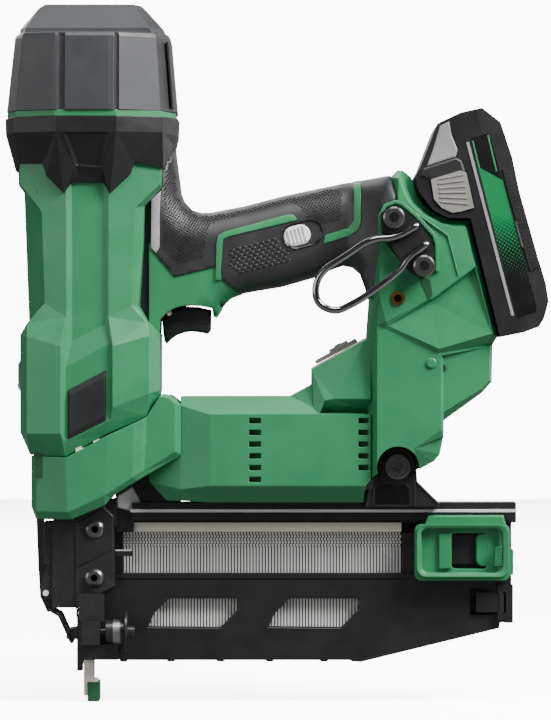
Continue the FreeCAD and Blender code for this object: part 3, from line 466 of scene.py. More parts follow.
def inside(x, z, outline):
    """True where a point lies within an XZ outline."""
    odd = False
    for (x0, z0), (x1, z1) in zip(outline, outline[1:] + outline[:1]):
        if (z0 > z) != (z1 > z) and x < (x1 - x0) * (z - z0) / (z1 - z0) + x0:
            odd = not odd
    return odd


def away(x, z, chain):
    """Distance from a point to an open chain of XZ points."""
    best = math.inf
    for (x0, z0), (x1, z1) in zip(chain, chain[1:]):
        dx, dz = x1 - x0, z1 - z0
        t = max(0.0, min(1.0, ((x - x0) * dx + (z - z0) * dz) / (dx * dx + dz * dz)))
        best = min(best, math.hypot(x - x0 - t * dx, z - z0 - t * dz))
    return best


def tube(name, points, radius, key, **more):
    """A round wire along a smooth curve, turned into a closed mesh."""
    curve = bpy.data.curves.new(name + "_path", "CURVE")
    curve.dimensions = "3D"
    curve.bevel_depth = radius * MM
    curve.bevel_resolution = 5
    curve.resolution_u = 8
    curve.use_fill_caps = True
    spline = curve.splines.new("NURBS")
    spline.points.add(len(points) - 1)
    for target, p in zip(spline.points, points):
        target.co = (*[c * MM for c in p], 1)
    spline.order_u = 3
    spline.use_endpoint_u = True
    holder = bpy.data.objects.new(name + "_path", curve)
    mesh = bpy.data.meshes.new_from_object(holder)
    bm = bmesh.new()
    bm.from_mesh(mesh)
    bmesh.ops.scale(bm, vec=Vector((1 / MM,) * 3), verts=bm.verts)
    bpy.data.objects.remove(holder)
    bpy.data.curves.remove(curve)
    bpy.data.meshes.remove(mesh)
    return made(name, bm, key, smooth=True, **more)


# ---- head housing ------------------------------------------------------------------------------------
def head_housing():
    """The faceted head tube: two panels, a sunk centre channel, wings at the top and a wider lower head."""
    wall, panel, floor, lower, sunk = 12, 33, 31, 37.3, 34.8
    points = dict(a0=(-36.5, 277, 14), a1=(-36.3, 266, 14), a2=(-33.5, 262, wall), a3=(-31, 195, wall),
        a4=(-35, 189, 22), a5=(-35, 139, 22), s0=(-30.5, 129, 20), w0=(-34.8, 277, 26.5),
        w1=(-34.6, 266, 26.5), w2=(-25, 254, 29.2), w3=(-23.5, 251, 29.6), p3=(-22, 205, 30),
        r1=(-33.3, 263.2, 12.6), r2=(-25.4, 253.2, 23.6), r3=(-24, 250.5, 25.2), r4=(-22.4, 204.6, 25.3),
        f3=(-31.1, 194.8, 30), m0=(-11, 277, panel), m1=(-10.7, 198, panel), m2=(-13.5, 183, lower),
        m3=(-13.5, 138.6, lower), n0=(-8, 277, floor), n1=(-8, 185.5, floor), n2=(-11, 172.5, sunk),
        n3=(-11.3, 134.5, sunk), q0=(8, 277, floor), q1=(8.5, 194, floor), q2=(12, 185, sunk),
        q3=(11.5, 145.5, sunk), g0=(11, 277, panel), g1=(10.7, 198, panel), g2=(13, 183, lower),
        g3=(13, 152, lower), t0=(37.2, 277, 26.5), t1=(36.9, 266, 26.5), t2=(24.5, 254, 29.6),
        t3=(22.3, 204, 30.2), u0=(38, 277, 18), u1=(37.6, 264.5, 18), u2=(28.6, 254.8, 23),
        u3=(28, 236, 24), u4=(25.8, 203.4, 27), x2=(29.2, 254.6, wall), x3=(28.7, 236, wall),
        x4=(26.6, 203.6, wall), c3=(30.3, 195.4, 30), c4=(31, 196.2, wall), l1=(-31, 188.2, 33.6),
        l2=(-31, 138.4, 33.6), h0=(31.5, 188.4, 33.4), h1=(31.5, 159, 33.4), b0=(36.7, 189.5, 22),
        b1=(36.7, 160.5, 22), e1=(36.2, 158, 20), e2=(30.3, 147.3, 29.6), e3=(10, 138.5, 31.6),
        s1=(-11.2, 126.7, 31.6), s2=(-29.6, 127.6, 27))
    faces = """a0 w0 w1 a1, a1 w1 r1 a2, w1 w2 r2 r1, w2 w3 r3 r2, w3 p3 r4 r3, a2 r1 r2 r3 r4 a3,
            a3 r4 p3 f3, w0 m0 m1 p3 w3 w2 w1, p3 m1 m2 l1 f3, f3 l1 a4, f3 a4 a3, a4 l1 l2 a5,
            l1 m2 m3 l2, l2 m3 s1 s2, a5 l2 s2 s0, m0 n0 n1 m1, m1 n1 n2 m2, m2 n2 n3 m3, m3 n3 s1,
            n0 q0 q1 n1, n1 q1 q2 n2, n2 q2 q3 n3, n3 q3 e3 s1, q0 g0 g1 q1, q1 g1 g2 q2, q2 g2 g3 q3,
            q3 g3 e2 e3, g0 t0 t1 t2 t3 g1, g1 t3 u4 c3 h0 g2, g2 h0 h1 g3, g3 h1 e2, h1 b1 e1 e2,
            h0 b0 b1 h1, h0 c3 b0, t0 u0 u1 t1, t1 u1 u2 t2, t2 u2 u3 u4 t3, u2 x2 x3 u3, u3 x3 x4 u4,
            u4 x4 c4 c3, c3 c4 b0"""
    for side, word in SIDES.items():
        relief(f"head_shell_{word}", points, faces, side, "green_housing", node=f"head_housing_{word}")


# ---- nose housing ------------------------------------------------------------------------------------
def nose_housing():
    """The lower housing in front of the wheel, with its underside rising to the rear."""
    edge, face, mid, flank = 21, 34, 35, 31.2
    points = dict(a0=(-29.3, 127, edge), a1=(-29.3, 101, edge), a2=(-27, 94.6, edge), b0=(-26.5, 127, 27.6),
        b1=(-26.5, 98.6, 27.6), b2=(-26, 94.6, 25), c0=(-11, 126.3, face), c1=(-10, 98.3, face),
        c2=(-8, 94.6, 31), d0=(10, 137.6, mid), d1=(9.2, 107.2, mid), d2=(9, 102, 31.6), d3=(12, 106, 31.6),
        f0=(23.6, 143.8, 34.2), f1=(23, 116.2, 34.2), f2=(25.5, 114.5, 31), g0=(28.6, 146.2, 32.8),
        g1=(27.4, 118.9, 32.8), h0=(30, 147, flank), h1=(28.7, 119.7, flank), i0=(36.8, 157.6, flank),
        i1=(42, 156.7, flank), i2=(44.7, 154, flank), i3=(44.8, 129.4, flank), j0=(37.1, 158.5, 27.5),
        j1=(42.2, 157.8, 27.5), j2=(45.4, 155.4, 27.5), k0=(47.6, 153, 27.6), k1=(47.6, 127.8, 27.6),
        k2=(45.6, 126.2, 27.6))
    faces = """a0 b0 b1 a1, a1 b1 b2 a2, b0 c0 c1 b1, b1 c1 c2 b2, c0 d0 d1 c1, c1 d1 d3 d2 c2, d0 f0 f1 d1,
            d1 f1 f2 d3, f0 g0 g1 f1, f1 g1 h1 f2, g0 h0 h1 g1, h0 i0 i1 i2 i3 h1, h1 i3 k2 f2,
            i0 j0 j1 i1, i1 j1 j2 i2, i2 j2 k0, i2 k0 k1 i3, i3 k1 k2"""
    for side, word in SIDES.items():
        relief(f"nose_shell_{word}", points, faces, side, "green_housing", node=f"nose_housing_{word}")


# ---- main housing: motor pod, hump and rear block ------------------------------------------------------
POD_DEPTH, REAR_DEPTH = 30, 38
VENTS = [((82.5, 88.5), 6), ((138.3, 143.5), 5)]
VENT_TOP, VENT_PITCH, VENT_HEIGHT = 146.4, 6, 2.7


def vent_cutter(side):
    """Blind slots in two columns through the pod's flank."""
    def fill(bm):
        for (x0, x1), count in VENTS:
            for k in range(count):
                z = VENT_TOP - VENT_PITCH * k
                outline = rect(x0, z, x1, z - VENT_HEIGHT)
                prism(bm, outline, side * (POD_DEPTH + 2), side * (POD_DEPTH - 5))
    return fill


def motor_pod():
    """The lying motor housing and the hump that carries the control panel."""
    top, back = 20.5, 21.5
    points = dict(l0=(31, 125, 19), l1=(31, 113.6, 19), l2=(40, 104, 20), o0=(47.2, 157.5, top),
        o1=(47.4, 153, 26), o2=(47.4, 109.8, 26), p1=(62.5, 148.3, POD_DEPTH), p2=(144.6, 148.3, POD_DEPTH),
        p3=(144.6, 111.7, POD_DEPTH), p4=(62.5, 111.7, POD_DEPTH), q0=(103.5, 157.5, top),
        q1=(114.5, 163.5, back), q2=(115.2, 151.4, 26.2), q3=(118, 148.6, 29.4), u1=(121, 155.4, 29),
        u2=(126, 156.2, 29), u3=(144.6, 156.2, 30), v0=(114.6, 171.2, 23.4), v1=(114.5, 172, 21.4),
        v2=(141.2, 186, 26), v3=(144.6, 186.2, 26), v4=(142, 187.4, 23.4), v5=(144.6, 187.4, 23.4),
        w1=(119.5, 149.2, 21), w2=(144.6, 149.2, 21), y1=(47.4, 104, 21.5), y2=(62, 103, 21.5),
        y3=(144.6, 103, 21.5))
    faces = """l0 o1 o2 l2 l1, o0 q0 q1 q2 q3 p2 p1 o1, o1 p1 p4 o2, p1 p2 p3 p4, o2 y1 l2, o2 p4 y2 y1,
            p4 p3 y3 y2, q1 v1 v0 q2, v0 u1 q2, v0 v2 v3 u3 u2 u1, v1 v4 v2 v0, v4 v5 v3 v2, q2 u1 w1 q3,
            u1 u2 w2 w1, u2 u3 w2, q3 w1 w2 p2"""
    return points, faces


def rear_block():
    """The block behind the loop that carries the battery rails, with its boss, V ridge and bevels."""
    edge, face, low, side_face = 24, 37.4, 34.8, 32.4
    points = dict(a0=(143.2, 103.4, edge), a1=(143.2, 188, edge), a2=(144.6, 207, edge),
        a3=(147, 228, edge), a4=(149.4, 245, edge), a5=(154.6, 269.6, 26), a6=(158, 273, 27),
        a7=(161, 273, 27), b0=(148.6, 209.5, face), b1=(152.3, 195.6, face), b2=(173.8, 207, face),
        c0=(175.8, 207.4, face), n0=(197.6, 223.6, face), b3=(149.4, 230, face), b4=(151.5, 251, face),
        b5=(158.4, 257.6, face), i0=(158.6, 268.6, 36.6), i1=(160.8, 262, 37), i2=(164, 255.8, 37),
        i3=(170, 250.4, 37), i4=(178, 245.8, 37), i5=(186, 243.5, 37), i6=(192.6, 243.3, 36.8),
        o0=(165.2, 269.6, 29), o1=(167, 262, 31), o2=(170.4, 256.2, 31), o3=(177, 250.7, 31),
        o4=(185, 247.6, 31), o5=(194.8, 247, 31), j2=(206.2, 189.6, 36.8), k2=(209.2, 188, 31),
        v1=(153.4, 193.4, 35.6), c1=(175.6, 205.8, 33.4), n1=(198.2, 222.2, 34), v0=(179.4, 181.8, 36.8),
        w1=(152, 192, low), w0=(178.6, 179.4, low), w2=(207, 184.3, 31), m1=(147.8, 193.8, low),
        r0=(180.2, 178.4, low), r1=(180.2, 140.4, low), r2=(166.6, 131, low), t1=(166.8, 114, low),
        t2=(150.8, 104.8, low), t3=(147.8, 104.8, low), t4=(150.6, 103.4, edge), t5=(168.2, 113, edge),
        s1=(181.6, 136, 29), s2=(180, 128, 28), s3=(177, 124.2, 27), s4=(168.4, 119.6, 27),
        x0=(181.8, 177.8, side_face), x1=(181.8, 137.4, side_face), y0=(205.4, 183.2, side_face),
        y1=(205, 165.6, side_face), y2=(200.8, 161.2, side_face), x2=(181.8, 149.6, side_face),
        y3=(201.8, 159.5, 27), x3=(181.8, 145, 27), y4=(206.6, 165, 27), y5=(207, 183.8, 27))
    faces = """a0 a1 m1 t3, a0 t3 t2 t4, t2 t1 t5 t4, a1 a2 b0 m1, b0 b1 m1, b1 v1 w1 m1, a2 a3 b3 b0,
            a3 a4 b4 b3, a4 a5 b5 b4, a5 i0 b5, a5 a6 i0, a6 a7 i0, a7 o0 i0, i0 o0 o1 i1, i1 o1 o2 i2,
            i2 o2 o3 i3, i3 o3 o4 i4, i4 o4 i5, i5 o4 o5 i6, i6 o5 k2 j2,
            b0 b3 b4 b5 i1 i2 i3 i4 i5 i6 n0 c0 b2 b1, b5 i0 i1, i6 j2 n1 n0, b1 b2 c0 c1 v1, c0 n0 n1 c1,
            v1 c1 n1 j2 v0, v1 v0 w0 w1, v0 j2 w2 w0, j2 k2 w2, m1 w1 w0 r0 r1 r2 t1 t2 t3,
            w0 w2 y0 x0 r0, r0 x0 x2 x1 r1, r1 x1 s1 s2 s3 s4 r2, r2 s4 t5 t1, x0 y0 y1 y2 x2,
            x2 y2 y3 x3, y2 y1 y4 y3, y0 w2 y5 y4 y1, x1 x2 x3 s1"""
    return points, faces


def arch_cutter(side):
    """The notch in the pod and the rear block that the magazine's rear bracket stands in."""
    outline = [(141, 96), (141, 107), (142.4, 112.4), (147, 117.4)]
    outline += arc(158.5, 121.2, 10.9, range(196, -14, -14))
    outline += [(172, 114), (186, 108), (186, 96)]
    return lambda bm: prism(bm, outline, side * 15.2, side * 46)


def main_housing():
    """Both halves of the pod and the rear block, with dark plates of painted shade behind the vents."""
    for side, word in SIDES.items():
        node = f"main_housing_{word}"
        relief(f"motor_pod_{word}", *motor_pod(), side, "green_housing", [vent_cutter(side),
            arch_cutter(side)], node=node)
        relief(f"rear_block_{word}", *rear_block(), side, "green_housing", [arch_cutter(side)], node=node)
        # a dark plate of painted shade seen through the vent slots
        slab(f"vent_shadow_{word}", rect(81, 110, 146, 149),
            side * (POD_DEPTH - 5.2), side * (POD_DEPTH - 8), "black_satin", node=node)


# ---- handle ------------------------------------------------------------------------------------------
HANDLE_TOP = [(43.5, 300), (44.4, 286), (45.5, 277), (47.5, 262), (49, 258), (53, 253.6), (58, 252.3),
    (63, 252.5), (80, 255.8), (100, 261), (131, 267.5), (154.5, 271.2), (175, 275)]
HANDLE_BOTTOM = [(62, 199), (66, 200.5), (69, 205), (79, 210.1), (100, 214.1), (117, 219), (131, 225.6),
    (137, 224)]
HANDLE_HALF, REAR_START, REAR_END = 18.4, 133, 152
HANDLE_SLOPE = math.atan2(261 - 255.8, 20)
GRIP_LIFT = 0.55


def handle_depth(x, z):
    """Half the handle's thickness: rounded to its top and bottom edges and flaring into the rear block."""
    flare = max(0.0, min(1.0, (x - REAR_START) / (REAR_END - REAR_START)))
    half = HANDLE_HALF + (REAR_DEPTH - 2.2 - HANDLE_HALF) * flare ** 1.5
    drop = 0.0
    for chain, radius in ((HANDLE_TOP, 16.0), (HANDLE_BOTTOM, 12.0 * (1 - flare) + 0.5)):
        d = min(away(x, z, chain), radius)
        drop += radius - math.sqrt(radius * radius - (radius - d) ** 2)
    return max(half - drop, 1.2)


GREEN_ROOT = [(31, 191), (36.4, 189.5), (36.8, 197), (40, 200.6), (45, 203.2), (51, 204.4), (57, 204.2),
    (63.3, 203), (63.8, 198.6), (65.5, 197.8), (67.4, 200.6), (69.5, 204.6), (73, 208), (79, 210.2),
    (79, 228), (31, 236)]
BLACK_GRIP = [(31.8, 233.4), (44.2, 218.8), (65, 223.9), (67.8, 217.9), (77, 210.2), (100, 214.1),
    (117, 219), (126, 223.2), (131, 225), (136, 224), (140, 221), (142.6, 214), (144.7, 207.3),
    (148.8, 213), (149, 226), (148.4, 240), (148.6, 250), (151, 254.6), (156.4, 256.8), (158.2, 258.4),
    (156, 264.6), (154.5, 270.6), (131, 267.5), (100, 261), (80, 255.8), (63, 252.5), (58, 252.3),
    (53, 253.6), (49, 258), (47.5, 262), (45.5, 277), (44.4, 286), (40, 277.6), (38.4, 275), (37.8, 265),
    (32, 258.8)]
TRIM_UPPER = [(65.2, 217), (68.2, 217.2), (67.8, 221), (69, 238), (71.4, 239.4), (107, 248), (105.6, 250.4),
              (103.4, 251), (101, 250.6), (69.4, 241.8), (66.6, 240), (65.6, 236)]
TRIM_LOWER = [(120.6, 235.8), (134.6, 240), (138.6, 243.2), (139.7, 246.6), (139.7, 269), (136.2, 268.4),
              (136.2, 247.6), (133.4, 243.8), (121.4, 240.2)]
KNURL = [(39.5, 274.5), (37.6, 259), (37.4, 233.4), (46, 225), (59.8, 228.6), (61.8, 243.6), (64.5, 246.4),
    (66, 247), (100, 256.2), (104, 256.6), (107, 255.2), (112, 249.6), (116, 248.4), (119.4, 244.6),
    (128, 247), (130.4, 249.4), (130.6, 266.6), (100, 260.2), (80, 255), (63, 251.6), (57.6, 251.4),
    (52.4, 252.8), (48, 257.6), (46.6, 262), (44.6, 277), (43.8, 283)]
BRICKS = [(71, 233.5), (98, 240.6), (100, 235.4), (104.8, 234), (104.8, 226.4), (78, 219), (74.4, 219.6),
    (70.6, 223.4)]
GREY_STRIP = [(32.2, 258.4), (37, 263), (36.4, 250), (36.4, 234), (34.6, 231), (32, 233.6)]


def studs(name, zone, side, key, pitch, half, height, tilt, stagger, **more):
    """Small raised pyramids over a zone of the handle, on a grid turned to the handle's slope."""
    bm = bmesh.new()
    cos, sin = math.cos(tilt), math.sin(tilt)
    cx, cz = sum(x for x, _ in zone) / len(zone), sum(z for _, z in zone) / len(zone)
    reach = int(90 / min(pitch))
    for i in range(-reach, reach):
        for j in range(-reach, reach):
            u, v = pitch[0] * (i + (stagger if j % 2 else 0)), pitch[1] * j
            corners = []
            for du, dv in ((0, 0), (-half[0], -half[1]), (half[0], -half[1]), (half[0], half[1]),
                    (-half[0], half[1])):
                corners.append((cx + (u + du) * cos - (v + dv) * sin, cz + (u + du) * sin + (v + dv) * cos))
            if not all(inside(x, z, zone) for x, z in corners):
                continue
            depths = [handle_depth(x, z) + GRIP_LIFT for x, z in corners]
            base = [bm.verts.new((x, side * (d - 0.15), z)) for (x, z), d in zip(corners[1:], depths[1:])]
            top = [bm.verts.new((corners[0][0] + 0.45 * (x - corners[0][0]), side * (d + height),
                                 corners[0][1] + 0.45 * (z - corners[0][1])))
                   for (x, z), d in zip(corners[1:], depths[1:])]
            bm.faces.new(base)
            bm.faces.new(list(reversed(top)))
            stitch(bm, base, top)
    return made(name, bm, key, **more)


def handle():
    """The handle core in green, its rubber skin, the green trims and the textured zones."""
    rings = (0.25, 0.5, 0.9, 1.4)
    for side, word in SIDES.items():
        draped(f"handle_root_{word}", GREEN_ROOT, handle_depth, side, "green_housing", 0, 6, 2.5, rings[:2],
            bevel=0.3, angle=40, node=f"main_housing_{word}")
        draped(f"grip_skin_{word}", BLACK_GRIP, handle_depth, side, "black_elastomer", GRIP_LIFT, 12, 2.2,
            rings, node="grip_skins")
        for name, outline in (("upper", TRIM_UPPER), ("lower", TRIM_LOWER)):
            draped(f"trim_{name}_{word}", outline, handle_depth, side, "green_housing", 1.15, 2, 2.0,
                (0.3,), bevel=0.25, angle=40, node=f"main_housing_{word}")
        draped(f"grip_smooth_strip_{word}", GREY_STRIP, handle_depth, side, "grey_elastomer", 1.0, 2, 2.0,
            (0.3,), bevel=0.2, angle=40, node="grip_skins")
        studs(f"grip_knurl_{word}", KNURL, side, "black_elastomer", (1.3, 1.3), (0.5, 0.5), 0.4,
            HANDLE_SLOPE + math.pi / 4, 0, node="grip_skins")
        studs(f"grip_bricks_{word}", BRICKS, side, "black_elastomer", (3.1, 1.75), (1.3, 0.62), 0.45,
            HANDLE_SLOPE, 0.5, node="grip_skins")


# ---- head cap, ring and collar -----------------------------------------------------------------------
CAP_PLAN = [(-42.3, 15), (-36.8, 31.6), (-17.4, 43.3), (-16.2, 44.2), (-14.7, 44.2), (-14.1, 42.4),
    (-11.6, 42.4), (-11, 44.4), (11, 44.4), (14, 44), (14.5, 42.4), (15.8, 42.4), (16.4, 43.4),
    (37.5, 32.5), (45.3, 17)]
CAP_SHOULDER = [(-38, 17.3), (-33.4, 30.8), (-17.3, 40.6), (-16.2, 41.4), (-14.7, 41.5), (-14.1, 40),
    (-11.6, 40), (-11, 41.7), (11, 41.7), (14, 41.3), (14.5, 40), (15.8, 40), (16.4, 40.8), (35.1, 31),
    (42, 17.6)]
CAP_SILL = [(-37.2, 17), (-32.8, 30.2), (-17, 39.8), (-16.2, 40.2), (-14.7, 40.4), (-14.1, 40.4),
    (-11.6, 40.4), (-11, 40.6), (11, 40.6), (14, 40.4), (14.5, 40.4), (15.8, 40.2), (16.4, 40),
    (34.4, 30.4), (41, 17.2)]


def cap_ring(z, plan):
    """A level of the cap: the plan of its near half, mirrored to the far half."""
    front = [(x, -y, z) for x, y in plan]
    return front + [(x, -y, z) for x, y, z in reversed(front)]


def crown_plan(left, right, face_left, face_right, depth, side_depth):
    """A plain six-sided plan with as many points as the cap's, spaced as they are."""
    first, last = CAP_SILL[1][0], CAP_SILL[-2][0]
    run = [(face_left + (face_right - face_left) * (x - first) / (last - first), depth) for x,
        _ in CAP_SILL[1:-1]]
    return [(left, side_depth)] + run + [(right, side_depth)]


def head_cap():
    """The lofted cap with its crown and ribs, and the green ring below it."""
    bm = bmesh.new()
    crown = ((343.6, (-35.6, 39.6, -32, 32.8, 30, 15)), (346, (-35.4, 38.4, -31.6, 31.6, 29.6, 15)),
             (357, (-26.6, 28.6, -25, 24.6, 20, 10)), (358.9, (-24, 26.6, -22.4, 23, 17, 8)))
    levels = [(303.2, CAP_PLAN), (341, CAP_SHOULDER), (342.8, CAP_SILL)]
    levels += [(z, crown_plan(*plan)) for z, plan in crown]
    loft(bm, [cap_ring(z, plan) for z, plan in levels])
    made("head_cap_shell", bm, "cap_black", slot="black_housing", bevel=0.35, angle=14, node="head_cap")
    for side, word in SIDES.items():
        tiered(f"cap_rib_{word}", [(strip([(43.2, 305), (40.6, 339)], 1.6), 17),
            (strip([(43.2, 305), (40.6, 339)], 0.9), 25)], side, "black_satin", node="head_cap")
    plan = [(-42, 14), (-36.4, 31.4), (-16, 43.4), (15, 43.4), (37.4, 32.4), (44.6, 16)]
    bm = bmesh.new()
    loft(bm, [[(x, -y, z) for x, y in plan] + [(x, y, z) for x, y in reversed(plan)] for z in (300, 303.3)])
    made("head_ring_band", bm, "green_housing", bevel=0.3, angle=14, node="head_ring")


def head_collar():
    """The collar: an upright band, then facets that draw in to fingers lying on the green panels."""
    points = dict(a0=(-43, 300, 15), a1=(-42.9, 292, 15), b0=(-37.8, 300, 33), b1=(-37.6, 292, 33),
        c0=(-15.6, 300, 44), c1=(-15.5, 292, 43.8), d0=(15.2, 300, 44), d1=(15, 292, 43.8),
        e0=(38.6, 300, 34), e1=(38.4, 292, 34), f0=(46, 300, 17), f1=(45.6, 291, 17), g0=(-37.6, 273, 15),
        g1=(-35, 276.5, 27.4), g2=(-23, 276.5, 32), h=(-21, 270, 32.4), i=(-12, 261, 34.3),
        j=(-8, 266.5, 32.4), k=(8, 266.5, 32.4), l=(11.5, 261, 34.3), m=(22, 271, 32.4), n=(24, 277, 32),
        o=(38.5, 274, 27.4), p=(44.3, 286, 17), q0=(-10, 291, 42.4), q1=(10, 291, 42.4),
        q2=(-4.6, 276, 35.4), q3=(6, 275.4, 35.4), r0=(-4.6, 272.4, 34.6), r1=(6, 272, 34.6),
        s0=(-11.4, 291.6, 43.7), s1=(11.4, 291.6, 43.7), s2=(-6, 275, 36.8), s3=(7.6, 274.4, 36.8))
    faces = """a0 b0 b1 a1, b0 c0 c1 b1, c0 d0 d1 c1, d0 e0 e1 d1, e0 f0 f1 e1, a1 b1 g1 g0, b1 c1 h g2 g1,
            c1 i h, c1 d1 s1 s0, c1 s0 s2 i, s2 r0 j i, s0 q0 q2 s2, s0 s1 q1 q0, s1 s3 q3 q1,
            q0 q1 q3 q2, q2 q3 s3 s2, s2 s3 r1 r0, r0 r1 k j, s3 l k r1, d1 l s3 s1, d1 m l, d1 e1 n m,
            e1 o n, e1 f1 p o"""
    for side, word in SIDES.items():
        relief(f"collar_{word}", points, faces, side, "black_housing", bevel=0.35, node="head_collar")


# ---- inserts in the housing ----------------------------------------------------------------------------
def pads():
    """The grip pads low on the head, the lamp's lens, the control panel and the screw cap."""
    outline = [(-10, 160.8), (9.7, 171.1), (9.7, 145.2), (-10, 135.4)]
    face = [(-8.9, 158.2), (8.9, 167.6), (8.9, 147.4), (-8.9, 138.6)]
    for side, word in SIDES.items():
        tiered(f"pad_{word}", [(outline, 33.4), (outline, 34.9), (face, 36.4)], side, "black_satin",
            bevel=0.3, node="side_pads")
        turned(f"screw_cap_{word}", [(2.6, 0), (2.6, 2.2), (2.1, 2.5)], (175.5, side * 33.4, 174.5),
            (0, side, 0), "green_housing", 32, node="main_housing_" + word)
    turned("lamp_lens", [(3.4, 0), (3.4, 0.5), (2.6, 1.1), (1.2, 1.4)], (-35.6, 0, 161.4),
        (-0.83, 0, -0.56), "lamp_lens", 40)
    label = [(124.8, 178.9), (134, 184), (133.2, 185.6), (124, 180.4)]
    slab("control_label", [(x - 0.45, z + 0.85) for x, z in label], -9, 9, "light_grey", bevel=0.1)
    for k, y in enumerate((-5, 0, 5)):
        turned(f"control_key_{k}", [(1.9, 0), (1.9, 1.3), (1.5, 1.6)], (128.7, y, 182.9),
            (-0.485, 0, 0.875), "black_satin", 28)


def hook_mount():
    """The hook plate's green surround, the seams beside it, and painted shade in a groove and in the
    screw-in insert's bore.
    """
    surround = [(149.4, 239), (149.2, 249.6), (151.6, 254.4), (156.6, 256.6), (160.4, 255.6),
        (168.6, 248.4), (176.4, 239.6), (178, 235), (178.2, 221)]
    for side, word in SIDES.items():
        for k, (path, width, key) in enumerate(((surround, 1.9, "green_housing"),
                ([(151.2, 236), (160, 224.6)], 1.3, "green_housing"), ([(163, 252.6), (170, 249.2),
                (183.6, 239.4), (189, 219)], 0.7, "green_housing"))):
            slab(f"hook_surround_{k}_{word}", strip(path, width), side * 36, side * (39.4 - 0.6 * k), key,
                bevel=0.35, node="main_housing_" + word)
    # a patch of painted shade in the groove beside the hook plate
    slab("surround_shadow", [(168.6, 218.2), (173.6, 206.8), (176, 209), (174.6, 217.2)], -36.6, -37.62,
        "green_painted_shade", bevel=0.1, node="main_housing_left")
    # a dark disc of painted shade in the insert's bore
    turned("insert_bore", [(1.95, 0), (1.95, 0.4)], (158.2, -37.2, 207.5), (0, -1, 0), "black_gloss", 28)


def liners():
    """Dark parts behind the joints: painted shade behind the housing's seam, the handle's root, the
    magazine's mount and throat.
    """
    seam = [(-27, 116), (-27, 134), (-12, 136), (9, 147), (27, 155), (31, 152), (31, 136), (9, 127),
        (-11, 116)]
    root = [(22, 194), (22, 262), (33, 262), (38, 275), (39, 262), (37, 232), (32, 229), (32, 194)]
    throat = [(-8, 90), (-8, 96.6), (8, 103.6), (14, 104.6), (14, 90)]
    mount = [(13.4, 87.4), (13.4, 108), (20, 114), (34, 121.5), (46, 128), (47, 106), (47, 102),
        (22.8, 102), (22.8, 87.4)]
    lip = [(3.2, 22.2), (3.2, 60), (16.4, 66), (16.4, 22.2)]
    stay = [(-23.5, 70.5), (-23.7, 92.6), (-18.6, 92.6), (-18.6, 70.5)]
    for side, word in SIDES.items():
        # a dark green sheet of painted shade seen through the seam between the head and nose shells
        slab(f"seam_painted_shade_{word}", seam, side * 26.6, side * 29, "green_painted_shade", node="head_housing_" + word)
        slab(f"handle_web_{word}", root, side * 0.3, side * 17, "black_housing", bevel=0.5,
            node="main_housing_" + word)
        slab(f"nose_throat_{word}", throat, side * 6.4, side * 11.6, "black_housing", bevel=0.3)
        slab(f"magazine_mount_{word}", mount, side * 2.4, side * 8.2, "black_housing", bevel=0.4)
        slab(f"magazine_front_{word}", lip, side * 1.1, side * 5.9, "black_housing", bevel=0.3)
        slab(f"strip_back_{word}", rect(12.4, 60, 16.8, 89), side * 0.2, side * 2.4,
            "black_housing", bevel=0.2)
        slab(f"latch_stay_{word}", stay, side * 3, side * 11.4, "black_satin", bevel=0.4)


HOOK_RUN = [(173.6, 235.4), (163.4, 228.6), (159.6, 221.4), (143, 209.2), (133.6, 203.6), (126, 200.4),
    (117, 204.4), (115.8, 213.6), (119.8, 221.6), (131, 228.2), (144.4, 237.8), (158.4, 237.6),
    (168.6, 244.8)]


def belt_hook():
    """The belt hook's wire: two strands that run forward from the plate and join in a round loop."""
    tube("belt_hook_wire", [(x, -45.9, z) for x, z in HOOK_RUN], 1.9, "hook_steel", slot="blackened_steel",
        node="belt_hook")


def lock():
    """The pale ribbed safety slide in its black bezel."""
    centre, angle = (110, 240.6), 14.5
    run = rounded(-10.4, -6.6, 10.4, 6.6, 6.5, 8)
    hole = rounded(-9.2, -5.5, 9.2, 5.5, 5.4, 8)
    depth = handle_depth(*centre) + GRIP_LIFT
    outer, inner = tilt(run, centre, angle), tilt(hole, centre, angle)
    rimmed("lock_bezel", outer, inner, depth - 2.5, depth + 0.7, LEFT, "black_gloss", depth + 0.1,
        bevel=0.25)
    floor = tilt(rounded(-9.3, -5.6, 9.3, 5.6, 5.5, 8), centre, angle)
    slab("lock_floor", floor, -(depth - 2.6), -(depth - 0.9), "green_housing")
    at = (107, 240)
    outline = tilt(rounded(-7, -5.2, 7, 5.2, 5.1, 8), at, angle)
    lip = tilt(rounded(-6.3, -4.5, 6.3, 4.5, 4.4, 8), at, angle)
    tiered("lock_slide_cap", [(outline, 16.4), (outline, depth + 0.4), (lip, depth + 0.9)], LEFT,
        "pale_slider", bevel=0.2, body="lock_slide", node="lock_slide")
    for k in range(5):
        x = -4 + 2 * k
        rib = tilt(rect(x - 0.5, -3.9, x + 0.5, 3.9), at, angle)
        slab(f"lock_slide_rib_{k}", rib, -(depth + 0.6), -(depth + 1.5), "pale_slider", bevel=0.3,
            body="lock_slide", node="lock_slide")


# ---- trigger -------------------------------------------------------------------------------------------
def trigger():
    """A dished finger trigger with a raised rib under its flank."""
    outline = [(37.4, 197), (37.8, 191), (38.5, 186), (39.5, 184.4), (42, 186.9), (45, 189), (48.4, 190.2),
        (52, 190.8), (57, 190.3), (61, 189.5), (62.6, 191.5), (62.8, 202), (56, 203.6), (48, 203.8),
        (41, 202.5)]
    inner = inset(outline, 1.5)
    tiers = [(inner, -7.5), (outline, -5.8), (outline, 5.8), (inner, 7.5)]
    tiered("trigger_lever", tiers, LEFT, "black_satin", bevel=0.5, angle=20, body="trigger", node="trigger")
    for side, word in SIDES.items():
        line = [(40.4, 192.4), (43, 194.6), (47, 196), (51, 196.4), (56, 196), (61, 195.2)]
        slab(f"trigger_rib_{word}", strip(line, 1.0), side * 6.6, side * 7.9, "black_satin", bevel=0.3,
            body="trigger", node="trigger")


# ---- battery -------------------------------------------------------------------------------------------
BATTERY_HALF = 38


